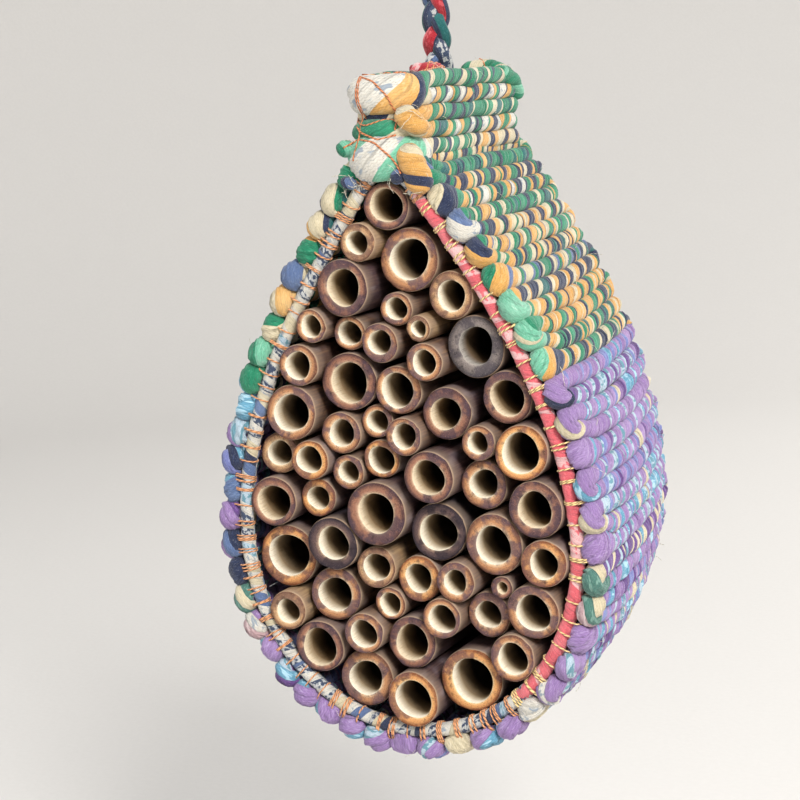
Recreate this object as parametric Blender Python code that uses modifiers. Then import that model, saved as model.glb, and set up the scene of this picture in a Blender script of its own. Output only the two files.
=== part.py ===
"""Insect hotel: bamboo canes packed into a teardrop basket of wound fabric rope, on a braided hanger.

Frame: metres, +Z up, canes open towards -Y, origin where a hook carries the eye of the hanger.
Lengths below are in millimetres. A height h is measured up from the widest level of the face.
"""

import math

import bmesh
import bpy
import numpy as np

MM = 0.001
GAP = 0.4                 # air between neighbouring pieces

# The teardrop of the front hoop's centreline.
FACE_HALF_WIDTH = 59.4
FACE_LOWER = 64.0         # below the widest level: half an ellipse
FACE_UPPER = 128.0        # above it: a cosine arch that would come to a point here
TIP_JOIN = 116.0          # where a round tip takes over from the arch

# The basket's depth and how it draws in towards the back.
DEPTH = 90.0
FRONT_Y = -46.0           # plane of the front hoop
BACK_WIDTH_SHARE = 0.87
BACK_HEIGHT_SHARE = 0.96
TAPER_CENTRE = 140.0      # the height that stays put
TAPER_POWER = 2.2         # the canes keep the front half full

HOOP_RADIUS = 2.0
ROPE_INNER = HOOP_RADIUS + GAP
ROPE_OUTER = 9.3
ROPE_OVERHANG = 3.2       # how far the rope turns stand in front of and behind the hoops
ROPE_CHANGE = 50.0        # the height where the lower rope meets the upper one

NECK_HALF_WIDTH = 12.0
NECK_BOTTOM = 124.5
ROOF = 152.0
NECK_ROUNDING = 5.0

BACK_PANEL_THICKNESS = 2.5

# Canes.
CANE_LENGTH = 82.0
CANE_BORE_SHARE = 0.6     # bore diameter over outside diameter
CANE_NODE = 7.0           # closed end behind the bore
CANE_SIDES = 16
SMALLEST_CANE = 8.0       # thinner canes aren't made here

# Each course of canes: height at its left end, at its right end, sag of its middle, then the
# outside diameters from left to right.
COURSES = (
    (111, 111, 0, (15.5,)),
    (100, 96, 0, (12.5, 20.5)),
    (85, 83, 3, (18.5, 11, 15.5)),
    (75, 67, 0, (11, 11.5, 13, 8.5, 20)),
    (62, 49, -1, (14, 19.5, 16, 12.5, 17)),
    (47, 33, 0, (18.5, 14, 11, 12.5, 17, 11.5, 18)),
    (30, 17, -2, (14, 13.5, 11.5, 13, 17.5, 16, 18.5)),
    (13, 0, -4, (17, 13, 21.5, 19.5, 20, 15.5)),
    (-7, -15, 2, (21.5, 18, 14, 15.5, 13.5, 7.5, 18)),
    (-26, -28, 4, (13.5, 18.5, 14, 11, 17.5, 13.5, 15, 15.5)),
    (-38, -40, 12, (18, 19.5, 18.5, 21.5)),
)
SETTLING_STEPS = 3000

# Hanger: a braided cord with a knot in the roof and an eye at the top.
CORD_DIAMETER = 8.5
HANG_TO_ROOF = 92.0
KNOT_RADIUS = 6.5
KNOT_SINK = 1.0           # the knot's centre below the roof
EYE_HEIGHT = 36.0
EYE_BULGE = 22.0
EYE_POINTS = 24
NECK_OF_EYE = 12.0        # where the cord leans aside to make room for its own end

OUTLINE_POINTS = 60
WIDEST_Z = -HANG_TO_ROOF - ROOF

COLOURS = {               # red, green, blue, roughness
    "bamboo": (0.47, 0.30, 0.16, 0.6),
    "upper_rope": (0.16, 0.40, 0.25, 0.9),
    "lower_rope": (0.40, 0.30, 0.52, 0.9),
    "pink_wrap": (0.75, 0.22, 0.24, 0.9),
    "navy_wrap": (0.08, 0.11, 0.20, 0.9),
    "backing": (0.33, 0.26, 0.18, 0.9),
    "cord": (0.10, 0.28, 0.30, 0.9),
}


def material(name):
    """The Principled material of that name, made once."""
    if name in bpy.data.materials:
        return bpy.data.materials[name]
    red, green, blue, roughness = COLOURS[name]
    made = bpy.data.materials.new(name)
    made.use_nodes = True
    shader = made.node_tree.nodes["Principled BSDF"]
    shader.inputs["Base Color"].default_value = (red, green, blue, 1)
    shader.inputs["Roughness"].default_value = roughness
    shader.inputs["Metallic"].default_value = 0.0
    return made


def add_object(name, data, collection, material_name=None):
    """A new object in the collection, with its material."""
    made = bpy.data.objects.new(name, data)
    collection.objects.link(made)
    if material_name:
        data.materials.append(material(material_name))
    return made


# ---------------------------------------------------------------- the teardrop

def half_width(h):
    """Half the width of the front hoop's centreline at height h, below the round tip."""
    if h < 0:
        return FACE_HALF_WIDTH * math.sqrt(max(0.0, 1 - (h / FACE_LOWER) ** 2))
    return FACE_HALF_WIDTH * math.cos(math.pi / 2 * h / FACE_UPPER)


def tip():
    """(centre height, radius) of the arc that rounds the top of the arch."""
    x = half_width(TIP_JOIN)
    turn = math.pi / 2 / FACE_UPPER
    slope = FACE_HALF_WIDTH * turn * math.sin(turn * TIP_JOIN)
    return TIP_JOIN - slope * x, x * math.hypot(1, slope)


def right_side(fine=120):
    """Points up the right side of the hoop's centreline, from its lowest point to its tip."""
    bottom = [
        (FACE_HALF_WIDTH * math.sin(a), -FACE_LOWER * math.cos(a))
        for a in np.linspace(0, math.pi / 2, fine)
    ]
    arch = [(half_width(h), h) for h in np.linspace(0, TIP_JOIN, fine)[1:]]
    centre, radius = tip()
    start = math.asin((TIP_JOIN - centre) / radius)
    top = [
        (radius * math.cos(a), centre + radius * math.sin(a))
        for a in np.linspace(start, math.pi / 2, fine // 4)[1:]
    ]
    return np.array(bottom + arch + top)


def outline(offset=0.0, count=OUTLINE_POINTS):
    """The closed teardrop, offset outwards, as evenly spaced (x, h) points, anticlockwise from the bottom."""
    side = right_side()
    loop = np.vstack([side, side[-2:0:-1] * [-1, 1]])
    ahead, behind = np.roll(loop, -1, axis=0), np.roll(loop, 1, axis=0)
    along = (ahead - behind) / np.linalg.norm(ahead - behind, axis=1)[:, None]
    loop = loop + offset * np.stack([along[:, 1], -along[:, 0]], axis=1)
    closed = np.vstack([loop, loop[:1]])
    run = np.concatenate([[0], np.cumsum(np.linalg.norm(np.diff(closed, axis=0), axis=1))])
    at = np.linspace(0, run[-1], count + 1)[:-1]
    return np.stack([np.interp(at, run, closed[:, k]) for k in range(2)], axis=1)


def draw_in(depth):
    """(width share, height share) of the basket at that depth behind the front hoop."""
    part = min(max(depth / DEPTH, 0.0), 1.0) ** TAPER_POWER
    return 1 - (1 - BACK_WIDTH_SHARE) * part, 1 - (1 - BACK_HEIGHT_SHARE) * part


def at_depth(points, depth):
    """World points in metres of an outline's (x, h) points, drawn in as the basket is at that depth."""
    wide, high = draw_in(depth)
    return [
        (x * wide * MM, (FRONT_Y + depth) * MM, (WIDEST_Z + TAPER_CENTRE + (h - TAPER_CENTRE) * high) * MM)
        for x, h in points
    ]


# ---------------------------------------------------------------- the canes

def clearance(points, loop):
    """For each point inside a closed loop: how far it is from the loop, and the inward direction there."""
    ends = np.roll(loop, -1, axis=0) - loop
    lengths = np.linalg.norm(ends, axis=1)
    along = ends / lengths[:, None]
    inward = np.stack([-along[:, 1], along[:, 0]], axis=1)
    away = points[:, None] - loop[None]
    run = np.clip((away * along[None]).sum(2), 0, lengths[None])
    gap = np.linalg.norm(away - along[None] * run[..., None], axis=2)
    nearest = gap.argmin(axis=1)
    rows = np.arange(len(points))
    side = np.sign((away * inward[None]).sum(2)[rows, nearest])
    return side * gap[rows, nearest], inward[nearest]


def laid_courses():
    """The canes' first places, spread evenly along their courses, and their radii."""
    places, radii = [], []
    for left, right, sag, diameters in COURSES:
        width = 2 * (half_width((left + right) / 2) - HOOP_RADIUS - GAP)
        space = (width - sum(diameters)) / len(diameters)
        x = -width / 2
        for diameter in diameters:
            x += (space + diameter) / 2
            share = x / width + 0.5
            places.append((x, left + (right - left) * share - 4 * sag * share * (1 - share)))
            radii.append(diameter / 2)
            x += (space + diameter) / 2
    return np.array(places), np.array(radii)


def settled_canes():
    """The canes' (x, h) places once they have pushed each other apart inside the hoop, and their radii."""
    places, radii = laid_courses()
    loop = outline(0.0, 4 * OUTLINE_POINTS)
    apart = radii[:, None] + radii[None] + GAP
    inset = HOOP_RADIUS + GAP + 0.2
    for _ in range(SETTLING_STEPS):
        between = places[:, None] - places[None]
        distance = np.linalg.norm(between, axis=2) + 1e-9
        overlap = np.maximum(apart - distance, 0)
        np.fill_diagonal(overlap, 0)
        push = (between / distance[..., None] * overlap[..., None]).sum(1) * 0.3
        inside, inward = clearance(places, loop)
        push += inward * np.maximum(radii + inset - inside, 0)[:, None] * 0.8
        places = places + push
    return places, radii


def cane_end(place, radius):
    """The depth at which a straight cane would come too near the wall that draws in."""
    for depth in range(30, int(CANE_LENGTH)):
        wide, high = draw_in(depth)
        loop = outline(ROPE_INNER, 2 * OUTLINE_POINTS)
        loop = loop * [wide, high] + [0, TAPER_CENTRE * (1 - high)]
        if clearance(np.array([place]), loop)[0][0] < radius + 2 * GAP:
            return depth - 1
    return CANE_LENGTH


def cane_profile(radius, length):
    """Half the section of a cane standing on its closed end, axis first, as (radius, height)."""
    bore = radius * CANE_BORE_SHARE
    return (
        (0, CANE_NODE),
        (bore, CANE_NODE),
        (bore, length),
        (radius, length),
        (radius, 0),
        (0, 0),
    )


def turned(name, profile, sides, collection, material_name):
    """A profile turned about its local Z axis with a Screw modifier."""
    mesh = bpy.data.meshes.new(name)
    points = [(x * MM, 0, z * MM) for x, z in profile]
    mesh.from_pydata(points, [(i, i + 1) for i in range(len(points) - 1)], [])
    made = add_object(name, mesh, collection, material_name)
    screw = made.modifiers.new("turned", "SCREW")
    screw.steps = sides
    screw.render_steps = sides
    screw.use_merge_vertices = True
    screw.merge_threshold = 0.00001
    return made


def make_canes(collection):
    places, radii = settled_canes()
    number = 0
    for index, ((x, h), radius) in enumerate(zip(places, radii)):
        if 2 * radius < SMALLEST_CANE:
            continue
        number += 1
        stands_out = 1.5 + 3.0 * math.sin(2.4 * index)
        length = min(CANE_LENGTH, cane_end((x, h), radius) + stands_out)
        cane = turned(
            f"bamboo_cane_{number:02d}", cane_profile(radius, length), CANE_SIDES, collection, "bamboo"
        )
        cane.rotation_euler = (math.pi / 2, 0, 0)
        cane.location = (x * MM, (FRONT_Y - stands_out + length) * MM, (WIDEST_Z + h) * MM)


# ---------------------------------------------------------------- hoops, rope and back

def tube(name, points, radius, collection, material_name, closed=False, sides=2):
    """A round wire or cord along the points, as a curve with a bevel."""
    curve = bpy.data.curves.new(name, "CURVE")
    curve.dimensions = "3D"
    curve.bevel_depth = radius * MM
    curve.bevel_resolution = sides
    curve.use_fill_caps = not closed
    spline = curve.splines.new("POLY")
    spline.points.add(len(points) - 1)
    for target, (x, y, z) in zip(spline.points, points):
        target.co = (x, y, z, 1)
    spline.use_cyclic_u = closed
    return add_object(name, curve, collection, material_name)


def make_hoops(collection):
    for name, depth, colour in (("front_hoop", 0.0, "pink_wrap"), ("back_hoop", DEPTH, "navy_wrap")):
        tube(name, at_depth(outline(), depth), HOOP_RADIUS, collection, colour, closed=True, sides=1)


def make_back_panel(collection):
    """A stiff disc inside the back hoop, which closes the basket behind the canes."""
    wide, high = draw_in(DEPTH)
    curve = bpy.data.curves.new("back_panel", "CURVE")
    curve.dimensions = "2D"
    curve.fill_mode = "BOTH"
    curve.extrude = BACK_PANEL_THICKNESS / 2 * MM
    spline = curve.splines.new("POLY")
    points = outline(-(HOOP_RADIUS + GAP) / wide - 0.3)
    spline.points.add(len(points) - 1)
    for target, (x, h) in zip(spline.points, points):
        target.co = (x * wide * MM, (TAPER_CENTRE + (h - TAPER_CENTRE) * high) * MM, 0, 1)
    spline.use_cyclic_u = True
    panel = add_object("back_panel", curve, collection, "backing")
    panel.rotation_euler = (math.pi / 2, 0, 0)
    panel.location = (0, (FRONT_Y + DEPTH) * MM, WIDEST_Z * MM)


def wall_mesh():
    """The whole wound wall as one ring: outer and inner skins lofted from front to back."""
    stations = (-ROPE_OVERHANG, 0.3 * DEPTH, 0.6 * DEPTH, 0.82 * DEPTH, DEPTH + ROPE_OVERHANG)
    outer = [at_depth(outline(ROPE_OUTER), d) for d in stations]
    inner = [at_depth(outline(ROPE_INNER), d) for d in stations]
    loops = outer + inner[::-1]
    bm = bmesh.new()
    rings = [[bm.verts.new(p) for p in loop] for loop in loops]
    for ring, following in zip(rings, rings[1:] + rings[:1]):
        for i in range(len(ring)):
            j = (i + 1) % len(ring)
            bm.faces.new((ring[i], ring[j], following[j], following[i]))
    bmesh.ops.recalc_face_normals(bm, faces=bm.faces)
    return bm


def half_of_wall(name, keep_above, collection, material_name):
    """The wall above or below the height where the rope changes, closed at the cut."""
    bm = wall_mesh()
    side = 1 if keep_above else -1
    level = (WIDEST_Z + ROPE_CHANGE + side * GAP) * MM
    cut = bmesh.ops.bisect_plane(
        bm,
        geom=bm.verts[:] + bm.edges[:] + bm.faces[:],
        plane_co=(0, 0, level),
        plane_no=(0, 0, -side),
        clear_outer=True,
    )
    rim = [e for e in cut["geom_cut"] if isinstance(e, bmesh.types.BMEdge)]
    bmesh.ops.holes_fill(bm, edges=rim, sides=0)
    bmesh.ops.recalc_face_normals(bm, faces=bm.faces)
    mesh = bpy.data.meshes.new(name)
    bm.to_mesh(mesh)
    bm.free()
    return add_object(name, mesh, collection, material_name)


def add_boolean(target, other, operation):
    step = target.modifiers.new(operation.lower(), "BOOLEAN")
    step.operation = operation
    step.object = other
    step.solver = "EXACT"


def ball(name, radius, collection):
    """A sphere centred on the knot in the roof."""
    mesh = bpy.data.meshes.new(name)
    bm = bmesh.new()
    bmesh.ops.create_uvsphere(bm, u_segments=16, v_segments=8, radius=radius * MM)
    bmesh.ops.translate(bm, verts=bm.verts, vec=(0, 0, -(HANG_TO_ROOF + KNOT_SINK) * MM))
    bm.to_mesh(mesh)
    bm.free()
    return add_object(name, mesh, collection)


def as_helper(thing):
    thing.hide_render = True
    thing.display_type = "WIRE"


def make_ropes(collection, helpers):
    """The lower rope's U of turns, and the upper rope's arch with the neck that it builds up."""
    half_of_wall("lower_rope_winding", False, collection, "lower_rope")
    arch = half_of_wall("upper_rope_winding", True, collection, "upper_rope")

    neck_mesh = bpy.data.meshes.new("neck_form")
    bm = bmesh.new()
    bmesh.ops.create_cube(bm, size=1)
    size = (2 * NECK_HALF_WIDTH, DEPTH + 2 * ROPE_OVERHANG, ROOF - NECK_BOTTOM)
    bmesh.ops.scale(bm, vec=[s * MM for s in size], verts=bm.verts)
    middle = (0, FRONT_Y + DEPTH / 2, WIDEST_Z + (ROOF + NECK_BOTTOM) / 2)
    bmesh.ops.translate(bm, verts=bm.verts, vec=[m * MM for m in middle])
    bm.to_mesh(neck_mesh)
    bm.free()
    neck = add_object("neck_form", neck_mesh, helpers)
    rounding = neck.modifiers.new("rounding", "BEVEL")
    rounding.width = NECK_ROUNDING * MM
    rounding.segments = 3
    as_helper(neck)
    add_boolean(arch, neck, "UNION")

    socket = ball("knot_socket", KNOT_RADIUS + GAP, helpers)
    as_helper(socket)
    add_boolean(arch, socket, "DIFFERENCE")


# ---------------------------------------------------------------- the hanger

def cord_route():
    """Up from the knot, round the eye, and back down beside itself."""
    top = CORD_DIAMETER / 2
    waist = top - EYE_HEIGHT
    beside = CORD_DIAMETER / 2 + GAP
    straight = np.linspace(-(HANG_TO_ROOF + KNOT_SINK), waist - 1.7 * NECK_OF_EYE, 5)
    route = [(0, z) for z in straight]
    for share in (0.25, 0.5, 0.75, 1.0):
        lean = (1 - math.cos(math.pi * share)) / 2
        route.append((-beside * lean, waist - NECK_OF_EYE * (1.7 - share)))
    route.append((-beside, waist - NECK_OF_EYE / 3))
    route.append((-beside, waist))
    for k in range(1, EYE_POINTS + 1):
        a = math.pi * k / EYE_POINTS
        aside = math.cos(a) * (beside + EYE_BULGE * math.sin(a) ** 2)
        route.append((-aside, waist + EYE_HEIGHT * math.sin(a)))
    route.append((beside, waist - NECK_OF_EYE / 4))
    route.append((beside, waist - NECK_OF_EYE / 2))
    return [(x * MM, 0, z * MM) for x, z in route]


def make_hanger(collection, helpers):
    """The cord and its knot as one piece; the hotel swings about the knot."""
    cord = tube("hanging_cord", cord_route(), CORD_DIAMETER / 2, collection, "cord", sides=2)
    shape = cord.evaluated_get(bpy.context.evaluated_depsgraph_get())
    mesh = bpy.data.meshes.new_from_object(shape)
    bm = bmesh.new()
    bm.from_mesh(mesh)
    bmesh.ops.remove_doubles(bm, verts=bm.verts, dist=0.00001)
    bm.to_mesh(mesh)
    bm.free()
    bpy.data.objects.remove(cord)
    joined = add_object("hanging_cord", mesh, collection)
    knot = ball("cord_knot", KNOT_RADIUS, helpers)
    as_helper(knot)
    add_boolean(joined, knot, "UNION")


def main():
    for thing in list(bpy.data.objects):
        bpy.data.objects.remove(thing, do_unlink=True)
    hotel = bpy.data.collections.new("insect_hotel")
    helpers = bpy.data.collections.new("helpers")
    for group in (hotel, helpers):
        bpy.context.scene.collection.children.link(group)
    make_canes(hotel)
    make_hoops(hotel)
    make_ropes(hotel, helpers)
    make_back_panel(hotel)
    make_hanger(hotel, helpers)


main()
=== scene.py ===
"""Looks of the insect hotel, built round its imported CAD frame.

Lengths here are in millimetres and become metres as a mesh is made. A height h on the teardrop is
measured up from its widest level; u is the distance along the rope wall's own outline, anticlockwise
from its lowest point as seen from the front; depth is the distance behind the front hoop.
"""

import math
import random

import bpy
import numpy as np
from mathutils import Matrix, Vector
from mathutils.bvhtree import BVHTree


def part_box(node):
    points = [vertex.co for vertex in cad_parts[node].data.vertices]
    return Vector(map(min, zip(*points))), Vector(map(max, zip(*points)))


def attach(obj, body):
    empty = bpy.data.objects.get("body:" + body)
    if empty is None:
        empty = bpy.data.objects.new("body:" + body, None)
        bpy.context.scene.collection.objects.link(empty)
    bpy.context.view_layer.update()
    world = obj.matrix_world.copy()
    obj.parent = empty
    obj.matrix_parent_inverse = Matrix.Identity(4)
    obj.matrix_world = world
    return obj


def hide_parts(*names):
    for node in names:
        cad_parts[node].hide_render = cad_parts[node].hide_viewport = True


MM = 0.001

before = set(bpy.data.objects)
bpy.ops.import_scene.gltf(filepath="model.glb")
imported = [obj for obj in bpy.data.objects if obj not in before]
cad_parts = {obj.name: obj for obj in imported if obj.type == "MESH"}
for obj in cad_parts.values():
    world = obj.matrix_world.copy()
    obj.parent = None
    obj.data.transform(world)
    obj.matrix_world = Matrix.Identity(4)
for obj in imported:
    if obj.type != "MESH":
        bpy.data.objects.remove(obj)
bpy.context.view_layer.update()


def node_box(name):
    """Lowest and highest corner of a CAD node, in millimetres."""
    return [np.array(corner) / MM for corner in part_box(name)]


# ---------------------------------------------------------------- measures

HOOP_LOW, HOOP_HIGH = node_box("front_hoop")
BACK_LOW, BACK_HIGH = node_box("back_hoop")
HOOP_RADIUS = (HOOP_HIGH[1] - HOOP_LOW[1]) / 2
FRONT_Y = (HOOP_HIGH[1] + HOOP_LOW[1]) / 2
BACK_Y = (BACK_HIGH[1] + BACK_LOW[1]) / 2
DEPTH = BACK_Y - FRONT_Y

# The teardrop, as the CAD hoops follow it.
FACE_HALF_WIDTH = 59.4
FACE_LOWER = 64.0
FACE_UPPER = 128.0
TIP_JOIN = 116.0
BACK_WIDTH_SHARE = 0.87
BACK_HEIGHT_SHARE = 0.96
TAPER_CENTRE = 140.0
TAPER_POWER = 2.2
WIDEST_Z = HOOP_LOW[2] + HOOP_RADIUS + FACE_LOWER
ROPE_CHANGE = node_box("upper_rope_winding")[0][2] - WIDEST_Z

# The wound rope.
ROPE_LINE = 5.5                 # its centre outside the hoop's centre
ROPE_HALF_THICK = 3.35          # measured outwards from the wall
ROW_OVERLAP = 0.565             # half a row's width over the distance between rows
PAIR_BEAD = (3.3, 4.0)          # half width and half thickness where two rows turn over the front hoop
SINGLE_BEAD = (5.15, 3.1)       # the same where one row folds inwards
BEAD_DEPTH = 7.0                # behind it the rope has its size in the wall
BEAD_LIFT = 0.35
UPPER_WINDOW, LOWER_WINDOW = 18, 21    # mesh rings that carry a bead's own fabrics
FRONT_START = 1.2               # depth where a row starts to turn
TURN_BULGE = 3.0
ROPE_GIRTH = math.pi * 6.0

# Its mesh.
WALL_STEP = 0.5                 # between its rings
BEAD_STEP = 0.6
COLUMNS = 16                    # around the rope
TURN_POINTS = 25                # in the half circle over the front hoop
BACK_POINTS = 9                 # in the quarter circle at the back
ROW_POINTS = 68                 # along a row between them


def sway(*seeds):
    """A repeatable random source for one piece."""
    return random.Random("/".join(str(s) for s in seeds))


def phases(source, count):
    """Random angles that shift one wave against another."""
    return [source.uniform(0, 6.28) for _ in range(count)]


def unit(vectors):
    """The vectors at length 1, one to a row."""
    return vectors / np.linalg.norm(vectors, axis=1)[:, None]


def eased(value):
    """The value clamped to 0..1 and made slow at both ends."""
    share = np.clip(value, 0, 1)
    return share * share * (3 - 2 * share)


def around(count):
    """Evenly spaced angles round a circle."""
    return 2 * math.pi * np.arange(count) / count


def lengths(points):
    """The distance from each point of a line to the next."""
    return np.linalg.norm(np.diff(points, axis=0), axis=1)


def running(steps):
    """The sum of the steps before each point, from 0."""
    return np.concatenate([[0], np.cumsum(steps)])


def read_line(points, run, at):
    """The points of a line where its run is at the given values."""
    return np.stack([np.interp(at, run, points[:, k]) for k in range(3)], axis=-1)


def soften(line, rounds):
    """Rounds the corners of a line in place; its ends stay."""
    for _ in range(rounds):
        line[1:-1] = (line[:-2] + 2 * line[1:-1] + line[2:]) / 4
    return line


# ---------------------------------------------------------------- the teardrop

def half_width(h):
    """Half the width of the hoop's centreline at a height."""
    if h < 0:
        return FACE_HALF_WIDTH * math.sqrt(max(0.0, 1 - (h / FACE_LOWER) ** 2))
    return FACE_HALF_WIDTH * math.cos(math.pi / 2 * h / FACE_UPPER)


def right_side(fine=400):
    """Points up the right side of the hoop's centreline, from its lowest point to its tip."""
    bottom = [
        (FACE_HALF_WIDTH * math.sin(a), -FACE_LOWER * math.cos(a))
        for a in np.linspace(0, math.pi / 2, fine)
    ]
    arch = [(half_width(h), h) for h in np.linspace(0, TIP_JOIN, fine)[1:]]
    x = half_width(TIP_JOIN)
    turn = math.pi / 2 / FACE_UPPER
    slope = FACE_HALF_WIDTH * turn * math.sin(turn * TIP_JOIN)
    centre, radius = TIP_JOIN - slope * x, x * math.hypot(1, slope)
    start = math.asin((TIP_JOIN - centre) / radius)
    top = [
        (radius * math.cos(a), centre + radius * math.sin(a))
        for a in np.linspace(start, math.pi / 2, fine // 4)[1:]
    ]
    return np.array(bottom + arch + top)


SIDE = right_side()
OUTLINE = np.vstack([SIDE, SIDE[-2:0:-1] * [-1, 1]])
ALONG = unit(np.roll(OUTLINE, -1, axis=0) - np.roll(OUTLINE, 1, axis=0))
OUTWARD = np.stack([ALONG[:, 1], -ALONG[:, 0]], axis=1)


class Line:
    """The teardrop at an offset, read by the distance u along it."""

    def __init__(self, offset):
        points = OUTLINE + offset * OUTWARD
        closed = np.vstack([points, points[:1]])
        self.run = running(lengths(closed))
        self.length = self.run[-1]
        columns = np.hstack([OUTLINE, OUTWARD])
        self.columns = np.vstack([columns, columns[:1]])

    def read(self, u):
        """(x, h, outward x, outward h) of the bare outline at u."""
        at = np.mod(u, self.length)
        return [np.interp(at, self.run, self.columns[:, k]) for k in range(4)]

    def place(self, u, offset, depth):
        """World points and outward directions at u, that far out of the hoop's centreline, at a depth."""
        x, h, out_x, out_h = self.read(u)
        part = np.clip(np.asarray(depth) / DEPTH, 0, 1) ** TAPER_POWER
        wide = 1 - (1 - BACK_WIDTH_SHARE) * part
        high = 1 - (1 - BACK_HEIGHT_SHARE) * part
        x = x * wide + out_x * offset
        z = WIDEST_Z + TAPER_CENTRE + (h - TAPER_CENTRE) * high + out_h * offset
        y = FRONT_Y + depth + np.zeros_like(x)
        return np.stack([x, y, z], axis=1), np.stack([out_x, np.zeros_like(x), out_h], axis=1)


HOOP_LINE = Line(0.0)
WALL_LINE = Line(ROPE_LINE)


# ---------------------------------------------------------------- node materials

def srgb(colour):
    """A linear colour from everyday 0 to 255 values."""
    def linear(value):
        value /= 255
        return value / 12.92 if value <= 0.04045 else ((value + 0.055) / 1.055) ** 2.4
    return (*[linear(value) for value in colour], 1.0)


def darker(colour, share):
    """The colour with each value cut down to a share of it."""
    return [value * share for value in colour]


def add(tree, kind, settings=None, **inputs):
    """A shader node with its settings and inputs; an input is a value or another node's output."""
    made = tree.nodes.new("ShaderNode" + kind)
    for key, value in (settings or {}).items():
        setattr(made, key, value)
    for key, value in inputs.items():
        socket = made.inputs[key.replace("_", " ")]
        if isinstance(value, bpy.types.NodeSocket):
            tree.links.new(value, socket)
        else:
            socket.default_value = value
    return made


def mix(tree, first, second, factor, blend="MIX"):
    """The colour between first and second."""
    made = tree.nodes.new("ShaderNodeMix")
    made.data_type = "RGBA"
    made.blend_type = blend
    for index, value in ((0, factor), (6, first), (7, second)):
        if isinstance(value, bpy.types.NodeSocket):
            tree.links.new(value, made.inputs[index])
        else:
            made.inputs[index].default_value = value
    return made.outputs[2]


def between(tree, value, low, high, to_low=0.0, to_high=1.0):
    """The value stretched from low..high to to_low..to_high, and clamped."""
    made = add(tree, "MapRange", Value=value)
    for name, number in (
        ("From Min", low), ("From Max", high), ("To Min", to_low), ("To Max", to_high)
    ):
        made.inputs[name].default_value = number
    return made.outputs[0]


def tint(tree, colour, over, value, low, high, most=1.0):
    """The colour covered by an everyday colour, from none where the value is low to most where it is high."""
    return mix(tree, colour, srgb(over), between(tree, value, low, high, 0.0, most))


def noise(tree, vector, scale, detail=3.0, stretch=None):
    """A noise value from 0 to 1; stretch scales each axis first."""
    if stretch:
        vector = add(tree, "Mapping", Vector=vector, Scale=stretch).outputs[0]
    return add(tree, "TexNoise", Vector=vector, Scale=scale, Detail=detail).outputs[0]


def bump(tree, height, distance, normal=None):
    """A normal raised by the height times a distance in millimetres, on top of another normal."""
    made = add(tree, "Bump", Height=height, Distance=distance * MM)
    made.inputs["Strength"].default_value = 1.0
    if normal is not None:
        tree.links.new(normal, made.inputs["Normal"])
    return made.outputs[0]


def new_material(name):
    """A new node material, its tree, and the outputs for its UVs and for the place on the piece."""
    made = bpy.data.materials.new(name)
    made.use_nodes = True
    made.node_tree.nodes.clear()
    where = made.node_tree.nodes.new("ShaderNodeTexCoord").outputs
    return made, made.node_tree, where["UV"], where["Object"]


def finish_material(tree, colour, roughness, normal, **constants):
    """Closes the tree with a Principled shader."""
    shader = add(tree, "BsdfPrincipled", Base_Color=colour, Roughness=roughness, Normal=normal)
    for key, value in constants.items():
        shader.inputs[key.replace("_", " ")].default_value = value
    out = tree.nodes.new("ShaderNodeOutputMaterial")
    tree.links.new(shader.outputs[0], out.inputs["Surface"])


THREAD = 0.42                   # width of one thread of the weave


def fabric(name, base, accent, printed):
    """Worn plain-weave cotton. Its UVs are millimetres along and across the strip."""
    made, tree, uv, place = new_material(name)
    waving = {"Vector": uv, "Scale": 0.314 / THREAD, "Distortion": 0.6, "Detail": 1.0}
    waves = [add(tree, "TexWave", {"bands_direction": way}, **waving).outputs["Fac"] for way in "XY"]
    over = add(tree, "TexChecker", Vector=uv, Scale=1 / THREAD).outputs["Fac"]
    weave = mix(tree, *waves, over)
    pleats = noise(tree, uv, 1.0, 3.0, (0.10, 1.5, 1.0))
    fuzz = noise(tree, uv, 4.5, 2.0)
    flecks = noise(tree, uv, 1.5, 3.0, (0.7, 1.3, 1.0))
    stains = noise(tree, place, 75.0, 2.0)
    # Painted shade: the fabric darkens in the hollows of its pleats.
    colour = tint(tree, srgb(base), darker(base, 0.62), pleats, 0.46, 0.24)
    pale = [c + (240 - c) * 0.5 for c in base]
    colour = tint(tree, colour, accent, flecks, 0.55, 0.72, 0.65)
    colour = tint(tree, colour, darker(base, 0.72), flecks, 0.4, 0.28, 0.6)
    colour = tint(tree, colour, pale, fuzz, 0.58, 0.8, 0.6)
    colour = tint(tree, colour, darker(base, 0.5), fuzz, 0.42, 0.26, 0.6)
    if printed:
        motif = noise(tree, uv, 0.55, 2.5)
        edge = 0.62 - 0.2 * printed
        colour = tint(tree, colour, accent, motif, edge, edge + 0.04)
    else:
        colour = tint(tree, colour, accent, stains, 0.52, 0.75, 0.5)
    # Painted shade in the gaps between the weave's threads.
    gap_shade = between(tree, weave, 0.35, 0.0, 0.0, 0.35)
    colour = mix(tree, colour, (0.55, 0.5, 0.45, 1), gap_shade, "MULTIPLY")
    normal = bump(tree, fuzz, 0.10, bump(tree, weave, 0.05, bump(tree, pleats, 0.45)))
    finish_material(
        tree, colour, between(tree, fuzz, 0.2, 0.8, 0.82, 0.98), normal,
        Specular_IOR_Level=0.18, Sheen_Weight=0.25, Sheen_Roughness=0.5,
    )
    return made


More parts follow.
